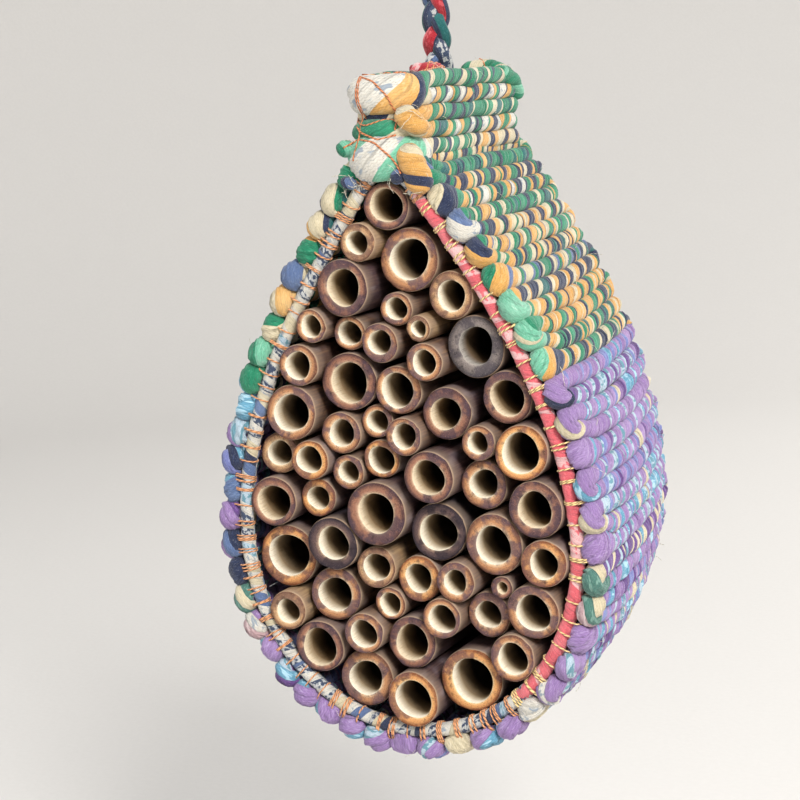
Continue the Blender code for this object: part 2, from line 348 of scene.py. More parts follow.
FABRIC_COLOURS = {
    # key: name, base, accent, share of a printed accent
    "g": ("emerald", (34, 124, 92), (74, 170, 132), 0.0),
    "m": ("mint", (112, 184, 154), (176, 216, 196), 0.0),
    "c": ("cream", (204, 192, 162), (226, 218, 196), 0.0),
    "y": ("mustard", (210, 158, 86), (230, 202, 150), 0.0),
    "n": ("navy", (42, 50, 76), (70, 82, 114), 0.0),
    "s": ("slate_blue", (88, 108, 148), (126, 146, 180), 0.0),
    "w": ("off_white", (212, 208, 198), (150, 160, 170), 0.2),
    "l": ("lilac", (148, 120, 172), (182, 164, 204), 0.0),
    "v": ("violet", (102, 72, 134), (130, 100, 160), 0.0),
    "p": ("periwinkle", (118, 126, 182), (156, 164, 206), 0.0),
    "t": ("sky_blue", (100, 156, 184), (168, 206, 224), 0.3),
    "b": ("sky_print", (178, 198, 212), (104, 148, 164), 0.5),
    "k": ("teal_grey", (78, 122, 112), (120, 158, 146), 0.2),
    "r": ("rose_grey", (192, 160, 164), (216, 196, 196), 0.3),
    "q": ("pink", (220, 98, 108), (240, 154, 158), 0.0),
    "o": ("rose_white", (232, 186, 186), (222, 112, 120), 0.35),
    "d": ("navy_print", (196, 198, 198), (62, 74, 98), 0.75),
    "e": ("scarlet", (172, 38, 50), (204, 84, 92), 0.2),
    "a": ("deep_teal", (30, 94, 94), (64, 130, 128), 0.0),
}
_fabrics = {}


def fabric_of(key):
    """The fabric material of a key, made when it is first wanted."""
    if key not in _fabrics:
        name, base, accent, printed = FABRIC_COLOURS[key]
        _fabrics[key] = fabric("fabric_" + name, base, accent, printed)
    return _fabrics[key]


def thread_material(name, base):
    """Twisted sewing thread, with slanting plies drawn on its UVs."""
    made, tree, uv, _ = new_material(name)
    plies = add(
        tree, "TexWave", {"bands_direction": "DIAGONAL"}, Vector=uv, Scale=0.55, Distortion=0.4
    ).outputs["Fac"]
    # Painted shade: the thread darkens in the grooves between its plies.
    colour = tint(tree, srgb(darker(base, 0.6)), base, plies, 0.1, 0.6)
    finish_material(
        tree, colour, 0.6, bump(tree, plies, 0.06), Specular_IOR_Level=0.3, Sheen_Weight=0.2
    )
    return made


# ---------------------------------------------------------------- mesh helpers

def new_piece(name, points, faces, materials, slots=None, uvs=None, body="hotel"):
    """A mesh piece in the frame's own axes, from millimetre points, riding on a body."""
    mesh = bpy.data.meshes.new(name)
    mesh.from_pydata((np.asarray(points, float) * MM).tolist(), [], [list(f) for f in faces])
    for material in materials:
        mesh.materials.append(material)
    if slots is not None:
        mesh.polygons.foreach_set("material_index", np.asarray(slots, np.int32))
    mesh.polygons.foreach_set("use_smooth", [True] * len(mesh.polygons))
    if uvs is not None:
        layer = mesh.uv_layers.new(name="strip")
        layer.data.foreach_set("uv", np.asarray(uvs, np.float32).ravel())
    mesh.validate()
    mesh.update()
    made = bpy.data.objects.new(name, mesh)
    bpy.context.scene.collection.objects.link(made)
    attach(made, body)
    return made


def ring_quads(rings, columns, closed=False):
    """Faces between rings of points; closed joins the last ring to the first."""
    quads = []
    for k in range(rings if closed else rings - 1):
        low, high = k * columns, (k + 1) % rings * columns
        for c in range(columns):
            d = (c + 1) % columns
            quads.append((low + c, low + d, high + d, high + c))
    return quads


def ring_uvs(across, spans):
    """The UVs of those faces, from u at the edges of the columns and (v, next v) of each span."""
    uvs = []
    for v0, v1 in spans:
        for u0, u1 in zip(across[:-1], across[1:]):
            uvs += [(u0, v0), (u1, v0), (u1, v1), (u0, v1)]
    return uvs


def volume(points, quads):
    """Signed volume of a closed mesh of quads, to tell which way its faces point."""
    a, b, c, d = (points[quads[:, k]] for k in range(4))
    return np.einsum("ij,ij->i", a, np.cross(b, c) + np.cross(c, d)).sum()


class Path:
    """A line through space with its own outward direction and radii, read by mesh ring number."""

    def __init__(self, points, out, across, outward, steps):
        points = np.asarray(points, float)
        spans = lengths(points)
        steps = np.broadcast_to(steps, len(points))
        self.ring = running(spans / ((steps[1:] + steps[:-1]) / 2))
        self.run = running(spans)
        self.points = points
        tangent = unit(np.gradient(points, axis=0))
        out = np.broadcast_to(out, points.shape)
        self.out = unit(out - tangent * (out * tangent).sum(1)[:, None])
        self.side = np.cross(tangent, self.out)
        self.across = np.broadcast_to(across, len(points))
        self.outward = np.broadcast_to(outward, len(points))

    def read(self, at):
        """Centre, outward, sideways, half width and half thickness at fractional rings."""
        lines = [read_line(line, self.ring, at) for line in (self.points, self.out, self.side)]
        radii = [np.interp(at, self.ring, radius) for radius in (self.across, self.outward)]
        return lines + radii

    def round_off(self, length, start=False, end=False):
        """Closes one or both ends with a rounded shape of that length."""
        close = np.ones(len(self.run))
        for wanted, away in ((start, self.run), (end, self.run[-1] - self.run)):
            if wanted:
                close *= np.sqrt(np.clip(1 - np.clip(1 - away / length, 0, 1) ** 2, 0.0025, 1))
        self.across = self.across * close
        self.outward = self.outward * close


def pillow(strips, dip, edge=3.0):
    """Relief across one turn: each strip swells between its edges; a low edge power makes it rounder."""
    relief = []
    for width in strips:
        for k in range(width):
            across = 2 * (k + 0.5) / width - 1
            relief.append(1 - dip * abs(across) ** edge)
    return np.array(relief)


def tidy_face(corners, uvs):
    """Drops repeated corners; None if too few are left."""
    keep = [k for k in range(len(corners)) if corners[k] != corners[k - 1]]
    if len(set(corners)) < 3:
        return None
    return [int(corners[k]) for k in keep], [uvs[k] for k in keep]


def wound_shape(path, strips, dip, edge, lumps, columns, source):
    """Points of strips wound round a path, with their even places along it and each ring's strip number."""
    turn = sum(strips)
    last = path.ring[-1]
    ring = np.arange(-turn, int(last) + 2)
    i, j = ring[:, None], np.arange(columns)[None]
    raw = i + turn * j / columns
    drift = phases(source, 2)
    uneven = 2.4 * np.sin(raw * 2 * math.pi / 37 + drift[0])
    uneven = uneven + 0.9 * np.sin(raw * 2 * math.pi / 17 + drift[1])
    fade = np.clip(np.minimum(raw, last - raw) / 12, 0, 1)
    at = np.clip(raw + uneven * fade, 0, last)
    centre, out, side, across, outward = path.read(at)
    angle = 2 * math.pi * j / columns + 0 * i

    in_turn = (ring + turn) % turn
    strip_of = np.repeat(np.arange(len(strips)), strips)[in_turn]
    band = (ring + turn) // turn * len(strips) + strip_of
    bands = band[-1] + 1
    swell = np.array([source.uniform(-lumps, lumps) for _ in range(bands)])
    folds = np.array([phases(source, 3) for _ in range(bands)])[band]
    relief = pillow(strips, dip, edge)[in_turn]
    within = (relief - relief.min()) / max(relief.max() - relief.min(), 1e-9)
    phase = phases(source, 4)
    wobble = 1 + 0.03 * np.sin(0.21 * at + 2 * angle + phase[0])
    wobble = wobble + 0.025 * np.sin(0.13 * at - angle + phase[1])
    crumple = 0.026 * np.sin(4 * angle + folds[:, :1])
    crumple = crumple + 0.016 * np.sin(7 * angle + 0.9 * i + folds[:, 1:2])
    scale = (relief * (1 + swell[band] * within))[:, None] * (wobble + crumple * within[:, None])
    side_relief = (1 - 0.35 * (1 - relief))[:, None] * wobble
    push = -np.cos(angle) * outward * scale
    slide = np.sin(angle) * across * side_relief
    points = (centre + out * push[..., None] + side * slide[..., None]).reshape(-1, 3)
    return points, raw, band


def wound_faces(raw, last, turn):
    """Quads between the rings, with each one's ring and column, and the points of both open ends.
    The last column joins the first one a turn on, so the strips climb round the path."""
    # Past either end every ring shares one set of points, so the rope ends square.
    count, columns = raw.shape
    number = np.arange(count * columns).reshape(count, columns)
    first_kept = np.array([np.nonzero(raw[:, c] <= 0)[0][-1] for c in range(columns)])
    last_kept = np.array([np.nonzero(raw[:, c] >= last)[0][0] for c in range(columns)])
    rows = np.clip(np.arange(count)[:, None], first_kept[None], last_kept[None])
    shared = number[rows, np.arange(columns)[None]]

    near, far = shared[:-1], shared[1:]
    body = np.stack([near[:, :-1], far[:, :-1], far[:, 1:], near[:, 1:]], axis=-1)
    low = np.arange(count - 1 - turn)
    seam = np.stack([near[low, -1], far[low, -1], far[low + turn, 0], near[low + turn, 0]], axis=-1)
    quads = np.vstack([body.reshape(-1, 4), seam])
    ring_of = np.concatenate([np.repeat(np.arange(count - 1), columns - 1), low])
    column_of = np.tile(np.arange(columns - 1), count - 1)
    column_of = np.concatenate([column_of, np.full(len(low), columns - 1)])
    return quads, ring_of, column_of, (shared[0], shared[-1])


def wound_strips(name, path, strips, dip, colours, source, columns=COLUMNS, lumps=0.07, edge=3.0):
    """Fabric strips wound side by side round a path. strips: their widths in mesh rings.
    dip and edge shape the grooves between them, and lumps is how unevenly they swell.
    colours(turn, strip, middle ring) gives each strip's fabric key."""
    turn = sum(strips)
    points, raw, band = wound_shape(path, strips, dip, edge, lumps, columns, source)
    quads, ring_of, column_of, (start, end) = wound_faces(raw, path.ring[-1], turn)
    ordered = np.sort(quads, axis=1)
    whole = (ordered[:, 1:] != ordered[:, :-1]).all(axis=1)
    first, final = len(points), len(points) + 1
    points = np.vstack([points, points[start].mean(0), points[end].mean(0)])
    fans = [(start[k - 1], start[k], first) for k in range(columns)]
    fans += [(end[k], end[k - 1], final) for k in range(columns)]
    corner = [(0, 0), (1, 0), (1, 1), (0, 1)]
    if volume(points, quads[whole]) < 0:
        quads = quads[:, ::-1]
        fans = [f[::-1] for f in fans]
        corner = corner[::-1]

    keys, slot_of_band = [], []
    for number in range(band[-1] + 1):
        middle = raw[band == number, 0].mean()
        key = colours(number // len(strips), number % len(strips), middle)
        if key not in keys:
            keys.append(key)
        slot_of_band.append(keys.index(key))
    slot_of = np.array(slot_of_band)[band[ring_of]]

    uv = np.empty((len(quads), 4, 2))
    for k, (ring_step, column_step) in enumerate(corner):
        uv[:, k, 0] = ((column_of + column_step) / columns + ring_of // turn) * ROPE_GIRTH
        uv[:, k, 1] = (ring_of + ring_step) * WALL_STEP
    faces = quads[whole].tolist()
    uvs = [uv[whole].reshape(-1, 2)]
    slots = list(slot_of[whole])
    for k in np.nonzero(~whole)[0]:
        tidied = tidy_face(list(quads[k]), list(uv[k]))
        if tidied:
            faces.append(tidied[0])
            uvs.append(np.array(tidied[1]))
            slots.append(slot_of[k])
    faces += [[int(v) for v in f] for f in fans]
    slots += [0] * len(fans)
    uvs.append(np.zeros((3 * len(fans), 2)))

    # Points past the ends that no face uses are left out.
    used = np.unique(np.concatenate([np.ravel(f) for f in faces]))
    renumber = np.zeros(len(points), int)
    renumber[used] = np.arange(len(used))
    faces = [[int(renumber[v]) for v in f] for f in faces]
    materials = [fabric_of(k) for k in keys]
    return new_piece(name, points[used], faces, materials, slots, np.vstack(uvs))


def tube(points, radius, sides=6, closed=False):
    """Points, quads and UVs of a plain round tube along the points, for threads and fibres."""
    points = np.asarray(points, float)
    count = len(points)
    if closed:
        tangent = np.roll(points, -1, axis=0) - np.roll(points, 1, axis=0)
    else:
        tangent = np.gradient(points, axis=0)
    tangent /= np.linalg.norm(tangent, axis=1)[:, None] + 1e-12
    helper = np.where(np.abs(tangent[:, 2:3]) > 0.9, [[1.0, 0, 0]], [[0, 0, 1.0]])
    first = unit(np.cross(tangent, helper))
    second = np.cross(tangent, first)
    radius = np.broadcast_to(radius, count)
    angle = around(sides)
    shell = (
        points[:, None]
        + first[:, None] * (radius[:, None] * np.cos(angle))[..., None]
        + second[:, None] * (radius[:, None] * np.sin(angle))[..., None]
    )
    spans = [(k * 0.6, (k + 1) * 0.6) for k in range(count if closed else count - 1)]
    uvs = ring_uvs(np.arange(sides + 1) * 0.4, spans)
    return shell.reshape(-1, 3), ring_quads(count, sides, closed), uvs


def bundle(name, tubes, material, body="hotel"):
    """Many tubes as one piece."""
    points, faces, uvs = [], [], []
    base = 0
    for shell, quads, uv in tubes:
        points.append(shell)
        faces += [tuple(v + base for v in f) for f in quads]
        uvs += uv
        base += len(shell)
    return new_piece(name, np.vstack(points), faces, [material], None, uvs, body)


# ---------------------------------------------------------------- camera, floor and light

def make_stage():
    """A pale round floor that curves up into a wall all round, and soft studio light."""
    floor_z, flat, curve, wall_top = -0.45, 1.5, 0.7, 2.6
    profile = [(0.0, 0.0), (flat, 0.0)]
    for a in np.linspace(0.1, math.pi / 2, 12):
        profile.append((flat + curve * math.sin(a), curve - curve * math.cos(a)))
    profile.append((flat + curve, wall_top))
    angles = around(96)
    points = [(r * math.cos(a), r * math.sin(a), z + floor_z) for r, z in profile for a in angles]
    faces = ring_quads(len(profile), len(angles))
    mesh = bpy.data.meshes.new("floor")
    mesh.from_pydata(points, [], faces)
    mesh.polygons.foreach_set("use_smooth", [True] * len(faces))
    made, tree, _, place = new_material("floor_paper")
    grain = noise(tree, place, 300.0, 4.0)
    colour = mix(tree, (0.70, 0.685, 0.665, 1), (0.74, 0.725, 0.705, 1), grain)
    finish_material(tree, colour, 0.9, bump(tree, grain, 0.1), Specular_IOR_Level=0.1)
    mesh.materials.append(made)
    floor = bpy.data.objects.new("floor", mesh)
    bpy.context.scene.collection.objects.link(floor)

    lamps = (
        # name, place, aim, size, watts, colour
        ("key", (0.85, -0.90, 0.62), (0.0, -0.03, -0.22), 0.45, 24.0, (1.0, 0.98, 0.95)),
        ("fill", (-1.1, -0.8, 0.15), (0.0, 0.0, -0.22), 1.1, 5.0, (0.92, 0.96, 1.0)),
        ("back", (0.9, 1.5, 0.8), (0.0, 0.0, -0.2), 1.2, 24.0, (1.0, 0.98, 0.95)),
    )
    for name, place, aim, size, watts, glow in lamps:
        lamp = bpy.data.lights.new(name, "AREA")
        lamp.shape = "DISK"
        lamp.size = size
        lamp.energy = watts
        lamp.color = glow
        holder = bpy.data.objects.new(name, lamp)
        holder.location = place
        direction = Vector(aim) - Vector(place)
        holder.rotation_euler = direction.to_track_quat("-Z", "Y").to_euler()
        bpy.context.scene.collection.objects.link(holder)
    sky = bpy.data.worlds.new("studio")
    sky.use_nodes = True
    background = sky.node_tree.nodes["Background"]
    background.inputs[0].default_value = (0.95, 0.97, 1.0, 1)
    background.inputs[1].default_value = 0.48
    bpy.context.scene.world = sky
    bpy.context.scene.view_settings.view_transform = "Standard"


def make_camera():
    """The camera stands in front, to the right and a little above, with a slight roll."""
    azimuth, elevation, roll = math.radians(25.2), math.radians(9.0), math.radians(-3.2)
    target = Vector((0.0004, -0.0460, -0.1967))
    away = 0.648
    look = Vector((
        -math.sin(azimuth) * math.cos(elevation),
        math.cos(azimuth) * math.cos(elevation),
        -math.sin(elevation),
    ))
    level = Vector((math.cos(azimuth), math.sin(azimuth), 0.0))
    up = level.cross(look)
    right = math.cos(roll) * level + math.sin(roll) * up
    top = math.cos(roll) * up - math.sin(roll) * level
    camera = bpy.data.cameras.new("camera")
    camera.lens = 90.0
    camera.sensor_width = 36.0
    holder = bpy.data.objects.new("camera", camera)
    turned = Matrix((right, top, -look)).transposed().to_4x4()
    holder.matrix_world = Matrix.Translation(target - look * away) @ turned
    bpy.context.scene.collection.objects.link(holder)
    bpy.context.scene.camera = holder


# ---------------------------------------------------------------- the hanger

CORD_DIAMETER = 8.5
HANG_TO_ROOF = 92.0
KNOT_SINK = 1.0
EYE_HEIGHT = 36.0
EYE_BULGE = 22.0
EYE_POINTS = 24
NECK_OF_EYE = 12.0
BESIDE = CORD_DIAMETER / 2 + 0.4
WAIST = CORD_DIAMETER / 2 - EYE_HEIGHT

BRAID_LENGTH = 25.0                     # one full plait
BRAID_SWING, BRAID_WEAVE = 2.45, 1.35   # how far a strand goes aside, and to the front and back
STRAND = (2.45, 1.65)                   # half width and half thickness
STRAND_COLUMNS = 16
STRANDS = ("nnddnaac", "nneeqddn", "aansddnn")    # fabric keys round each strand
FOLD_LENGTH = 9.0                       # after it a strand turns other fabrics outwards
WHIPPING_TURNS, WHIPPING_PITCH = 9, 0.66


def cord_route():
    """Up from the knot, round the eye, and back down beside itself."""
    straight = np.linspace(-(HANG_TO_ROOF + KNOT_SINK), WAIST - 1.7 * NECK_OF_EYE, 5)
    route = [(0, z) for z in straight]
    for share in (0.25, 0.5, 0.75, 1.0):
        lean = (1 - math.cos(math.pi * share)) / 2
        route.append((-BESIDE * lean, WAIST - NECK_OF_EYE * (1.7 - share)))
    route += [(-BESIDE, WAIST - NECK_OF_EYE / 3), (-BESIDE, WAIST)]
    for k in range(1, EYE_POINTS + 1):
        a = math.pi * k / EYE_POINTS
        aside = math.cos(a) * (BESIDE + EYE_BULGE * math.sin(a) ** 2)
        route.append((-aside, WAIST + EYE_HEIGHT * math.sin(a)))
    route += [(BESIDE, WAIST - NECK_OF_EYE / 4), (BESIDE, WAIST - NECK_OF_EYE / 2)]
    return np.array([(x, 0.0, z) for x, z in route])


def evenly(points, step):
    """The same line with a point every step, and each point's distance along it."""
    run = running(lengths(points))
    at = np.linspace(0, run[-1], int(round(run[-1] / step)) + 1)
    return read_line(points, run, at), at


def strand_shell(number, centre, run):
    """Points round one strand of the braid, ring by ring."""
    front = np.array([0.0, -1.0, 0.0])
    side = np.cross(unit(np.gradient(centre, axis=0)), front)
    swell = 1 + 0.06 * np.clip(1 - run / 14.0, 0, 1)
    phase = 2 * math.pi * (run / BRAID_LENGTH + number / 3) + 0.5
    x = BRAID_SWING * swell * np.sin(phase)
    y = BRAID_WEAVE * swell * np.sin(2 * phase)
    line = centre + side * x[:, None] - front * y[:, None]
    along = unit(np.gradient(line, axis=0))
    flat = unit(np.cross(along, front))
    thick = np.cross(flat, along)
    angle = around(STRAND_COLUMNS)
    ripple = 1 + 0.06 * np.sin(3 * angle[None] + 0.35 * run[:, None] + number)
    ripple = ripple * (1 + 0.05 * np.sin(0.9 * run[:, None] + 5 * number))
    half_wide, half_thick = STRAND
    return (
        line[:, None]
        + flat[:, None] * (half_wide * swell[:, None] * np.cos(angle) * ripple)[..., None]
        + thick[:, None] * (half_thick * swell[:, None] * np.sin(angle) * ripple)[..., None]
    ).reshape(-1, 3)


def make_hanger():
    """Three flat strips of folded fabric, braided, with the eye's end whipped to the cord."""
    centre, run = evenly(cord_route(), 0.6)
    soften(centre, 6)
    points, faces, slots, uvs, keys = [], [], [], [], []
    columns = STRAND_COLUMNS
    source = sway("hanger")
    for number, zone in enumerate(STRANDS):
        base = number * len(run) * columns
        points.append(strand_shell(number, centre, run))
        faces += [[base + v for v in face] for face in ring_quads(len(run), columns)]
        spans = ring_uvs(np.arange(columns + 1) * 0.9, zip(run[:-1], run[1:]))
        uvs += [(v, u) for u, v in spans]
        folds = [source.randrange(0, len(zone)) // 3 for _ in range(40)]
        for at in run[:-1]:
            for c in range(columns):
                key = zone[(c * len(zone) // columns + folds[int(at / FOLD_LENGTH)]) % len(zone)]
                if key not in keys:
                    keys.append(key)
                slots.append(keys.index(key))
        last = base + (len(run) - 1) * columns
        faces += [range(base + columns - 1, base - 1, -1), range(last, last + columns)]
        slots += [0, 0]
        uvs += [(0.0, 0.0)] * (2 * columns)
    fabrics = [fabric_of(k) for k in keys]
    braid = new_piece("hanging_braid", np.vstack(points), faces, fabrics, slots, uvs, "hanger")
    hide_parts("hanging_cord")

    # Thread whipped round the eye's end and the cord beside it.
    t = np.linspace(0, WHIPPING_TURNS * 2 * math.pi, WHIPPING_TURNS * 26)
    wide, deep = BESIDE + CORD_DIAMETER / 2 - 0.2, CORD_DIAMETER / 2 + 0.6
    loop = np.stack(
        [
            np.sign(np.cos(t)) * wide * np.abs(np.cos(t)) ** 0.9,
            np.sign(np.sin(t)) * deep * np.abs(np.sin(t)) ** 0.8,
            WAIST - 3.2 - WHIPPING_PITCH * t / (2 * math.pi) + 4.0,
        ],
        axis=1,
    )
    copper = thread_material("thread_whipping", (206, 138, 92))
    whipping = bundle("eye_whipping", [tube(loop, 0.36)], copper, "hanger")


# ---------------------------------------------------------------- the rope wall

# Fabric keys of each bead where the rope turns over the front hoop, in the order of u.
RIGHT_BEADS = (
    "lbl bcl llt pll cwn lwl lbl llt rkc kkc llc cll ltl"
    " llt lcl nll ymm mcm cmm ygn yyn sws ncn ggs yyw"
).split()
LEFT_BEADS = (
    "ssy cgn gcn ncy ygc css yyc gcm mgg ggt ttl bll tnp"
    " tsb vll nsl snk kck lwr tll btv tll tll llt bll lll"
).split()

# Widths of the strips in one turn, in mesh rings, and the fabrics that each zone draws from.
UPPER_STRIPS = (7, 2, 6, 6, 3)
LOWER_STRIPS = (7, 3, 6, 4)
UPPER_MAINS = ("gyg", "ycg", "gga", "gyn", "yyg", "gcg", "gya", "mcg", "ncy", "wyg", "gcn", "wcn")
UPPER_THIN = "nnnnnnnsgc"
UPPER_OTHERS = "ggyycnna"
LOWER_MAIN = "lllllllv"
LOWER_OTHERS = "tpbcplbvtb"

SINGLE_EVERY = 3                    # every third bead ends one row instead of joining two
SPREAD_FROM, SPREAD_TO = 2.0, 15.0  # depths between which the rows gather into beads


def row_fabrics(upper, source):
    """How one row picks its fabrics: mostly its own few, now and then a scrap of another."""
    if upper:
        mains = list(source.choice(UPPER_MAINS))
        mains = [mains[0], source.choice(UPPER_THIN), mains[1], mains[2], source.choice(UPPER_THIN)]
        others, stray = UPPER_OTHERS, 0.2
    else:
        mains = [source.choice(keys) for keys in (LOWER_MAIN, LOWER_OTHERS, LOWER_MAIN, LOWER_OTHERS)]
        others, stray = LOWER_OTHERS, 0.22

    def pick(turn, strip, middle):
        return source.choice(others) if source.random() < stray else mains[strip]
    return pick


def bead_share(depth):
    """1 in the bead at the front, 0 in the wall."""
    return eased((BEAD_DEPTH - depth) / BEAD_DEPTH)


def wall_lift(depth, source):
    """How far a row bows out of the wall on its way back."""
    inside = np.sin(math.pi * np.clip(depth / DEPTH, 0, 1))
    bow = (0.7 + source.uniform(-0.3, 0.5)) * inside
    return bow + 0.2 * np.sin(0.13 * depth + source.uniform(0, 6))


def finish_row(u, offset, depth, out_turn, row, bead, source, wide=0.0):
    """A path in the wall from its outline coordinates. out_turn turns its outward side to the front;
    bead is its half width and half thickness there, and wide is where it has that width already."""
    points, out = WALL_LINE.place(u, offset, depth)
    front = bead_share(depth)
    turned = np.cos(out_turn)[:, None] * out + np.sin(out_turn)[:, None] * np.array([[0.0, -1.0, 0.0]])
    fat = source.uniform(0.95, 1.06)
    thin = ROW_OVERLAP * row
    across = thin + (bead[0] * fat - thin) * np.maximum(front, wide)
    outward = (ROPE_HALF_THICK + (bead[1] - ROPE_HALF_THICK) * front) * fat
    return Path(points, turned, across, outward, WALL_STEP + (BEAD_STEP - WALL_STEP) * front)


# Both kinds of row: a quarter turn at the back hoop, a straight stretch, a half turn at the front.
BACK = DEPTH - 1.0
QUARTER = np.linspace(0, math.pi / 2, BACK_POINTS)
HALF = np.linspace(0, math.pi, TURN_POINTS)
STRAIGHT = np.linspace(BACK, FRONT_START, ROW_POINTS + 2)[1:-1]
GATHERED = eased((SPREAD_TO - STRAIGHT) / (SPREAD_TO - SPREAD_FROM))


def pair_path(rows, bead_u, bead_pitch, row, free_start, source):
    """Two rows joined by a turn over the front hoop, each ending half way round its back turn."""
    q = bead_pitch / 4

    def along(row_u, bead_side):
        waver = 0.35 * np.sin(0.1 * STRAIGHT + source.uniform(0, 6)) * (1 - GATHERED)
        gathered = row_u + (bead_u + bead_side * q - row_u) * GATHERED
        return gathered + waver * np.clip((BACK - STRAIGHT) / 9, 0, 1)

    first, second = along(rows[0], -1), along(rows[1], 1)
    u = np.concatenate([
        rows[0] - row / 2 * (1 - np.sin(QUARTER)), first, bead_u - q * np.cos(HALF),
        second[::-1], rows[1] + row / 2 * (1 - np.cos(QUARTER)),
    ])
    lift_one, lift_two = wall_lift(STRAIGHT, source), wall_lift(STRAIGHT, source)
    depth = np.concatenate([
        BACK + TURN_BULGE * np.cos(QUARTER), STRAIGHT, FRONT_START - TURN_BULGE * np.sin(HALF),
        STRAIGHT[::-1], BACK + TURN_BULGE * np.sin(QUARTER),
    ])
    still = np.zeros(BACK_POINTS)
    lift = np.concatenate([still, lift_one, np.full(TURN_POINTS, BEAD_LIFT), lift_two[::-1], still])
    front = bead_share(depth)
    offset = ROPE_LINE + lift * (1 - front) + BEAD_LIFT * front
    path = finish_row(u, offset, depth, np.zeros(len(u)), row, PAIR_BEAD, source)
    path.round_off(3.0, start=free_start)
    return path


def single_path(row_u, bead_u, row, free_start, source):
    """One row that folds inwards at the front hoop, so its bead hides the rope's end."""
    tuck = np.linspace(FRONT_START, 6.0, 8)[1:]
    u = np.concatenate([
        row_u - row / 2 * (1 - np.sin(QUARTER)), row_u + (bead_u - row_u) * GATHERED,
        np.full(TURN_POINTS + len(tuck), bead_u),
    ])
    depth = np.concatenate([
        BACK + TURN_BULGE * np.cos(QUARTER), STRAIGHT, FRONT_START - 2.3 * np.sin(HALF), tuck
    ])
    lift = wall_lift(STRAIGHT, source)
    offset = np.concatenate([
        np.full(BACK_POINTS, ROPE_LINE), ROPE_LINE + lift * (1 - GATHERED) + 0.9 * GATHERED,
        ROPE_LINE - 0.3 + 1.2 * np.cos(HALF), np.full(len(tuck), ROPE_LINE - 1.5),
    ])
    out_turn = np.concatenate([
        np.zeros(BACK_POINTS + ROW_POINTS), HALF, np.full(len(tuck), math.pi)
    ])
    wide = np.concatenate([
        np.zeros(BACK_POINTS), GATHERED, np.ones(TURN_POINTS), np.zeros(len(tuck))
    ])
    path = finish_row(u, offset, depth, out_turn, row, SINGLE_BEAD, source, wide)
    path.round_off(3.0, start=free_start, end=True)
    return path


def make_wall():
    """The rope goes to and fro between the hoops. Each piece is one bead at the front with its rows."""
    top = WALL_LINE.length / 2
    made = {"upper": [], "lower": []}
    number = 0
    for side_start, beads in ((0.0, RIGHT_BEADS), (top, LEFT_BEADS)):
        single = [k % SINGLE_EVERY == 1 for k in range(len(beads))]
        rows_in_all = 2 * len(beads) - sum(single)
        row, bead_pitch = top / rows_in_all, top / len(beads)
        row_number = 0
        for k, bead in enumerate(beads):
            number += 1
            bead_u = side_start + (k + 0.5) * bead_pitch
            source = sway("row", number)
            rows = [side_start + (row_number + m + 0.5) * row for m in range(1 if single[k] else 2)]
            row_number += len(rows)
            free_start = k > 0 and single[k - 1]
            if single[k]:
                path = single_path(rows[0], bead_u, row, free_start, source)
            else:
                path = pair_path(rows, bead_u, bead_pitch, row, free_start, source)
            upper = float(WALL_LINE.read(bead_u)[1]) > ROPE_CHANGE
            zone = "upper" if upper else "lower"
            piece = wall_piece(f"{zone}_rope_{number:02d}", path, bead, single[k], upper, source)
            made[zone].append(piece)
    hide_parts("upper_rope_winding")
    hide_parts("lower_rope_winding")
    return made


def wall_piece(name, path, bead, single, upper, source):
    """Winds the strips, with the bead's own fabrics where it faces the front."""
    strips = UPPER_STRIPS if upper else LOWER_STRIPS
    window = UPPER_WINDOW if upper else LOWER_WINDOW
    picks = (row_fabrics(upper, source), row_fabrics(upper, source))
    nearest = path.ring[np.argmin(path.points[:, 1])]
    apex = nearest - (0.5 if single else 0.75) * sum(strips)

    def colours(turn, strip, middle):
        past = (middle - apex) / window + 0.5
        if 0 <= past < 1:
            return bead[int(past * 3)]
        return picks[int(past > 0.5)](turn, strip, middle)

    if upper:
        return wound_strips(name, path, strips, 0.19, colours, source)
    return wound_strips(name, path, strips, 0.36, colours, source, lumps=0.11, edge=2.2)


# ---------------------------------------------------------------- hoops and their bindings

WRAP_RADIUS = 2.45
PINK_FROM, PINK_TO = 40.0, 219.0    # along the hoop, anticlockwise from its lowest point
WRAP_STEP = 0.45


def hoop_wrap(name, start, stop, depth, mains, others):
    """Strip wound round a stretch of the wire hoop."""
    u = np.linspace(start, stop, int((stop - start) / 0.8))
    points, out = HOOP_LINE.place(u, 0.0, np.full(len(u), depth))
    path = Path(points, out, WRAP_RADIUS, WRAP_RADIUS, WRAP_STEP)
    source = sway(name)

    def colours(turn, strip, middle):
        return source.choice(others) if source.random() < 0.34 else mains[strip % len(mains)]

    return wound_strips(name, path, (6, 7), 0.07, colours, source, columns=14, lumps=0.03)


def bindings(name, start, stop, depth, gap, material, radius=0.3):
    """Thread sewn round the hoop and through the rope's turns, singly and in twos and threes."""
    source = sway(name)
    tubes = []
    u = start
    while u < stop:
        for strand in range(source.choice((1, 1, 2, 2, 3))):
            lean = source.uniform(-0.6, 0.6)
            a = np.linspace(0, 2 * math.pi, 22)[:-1]
            offset = 1.1 + (WRAP_RADIUS + radius + 1.0) * np.cos(a)
            across = (WRAP_RADIUS + radius * 0.7) * np.sin(a)
            points, _ = HOOP_LINE.place(u + strand * 0.75 + lean * np.sin(a), offset, across + depth)
            tubes.append(tube(points, radius * source.uniform(0.85, 1.15), closed=True))
        u += gap * source.uniform(0.75, 1.3)
    return bundle(name, tubes, material)


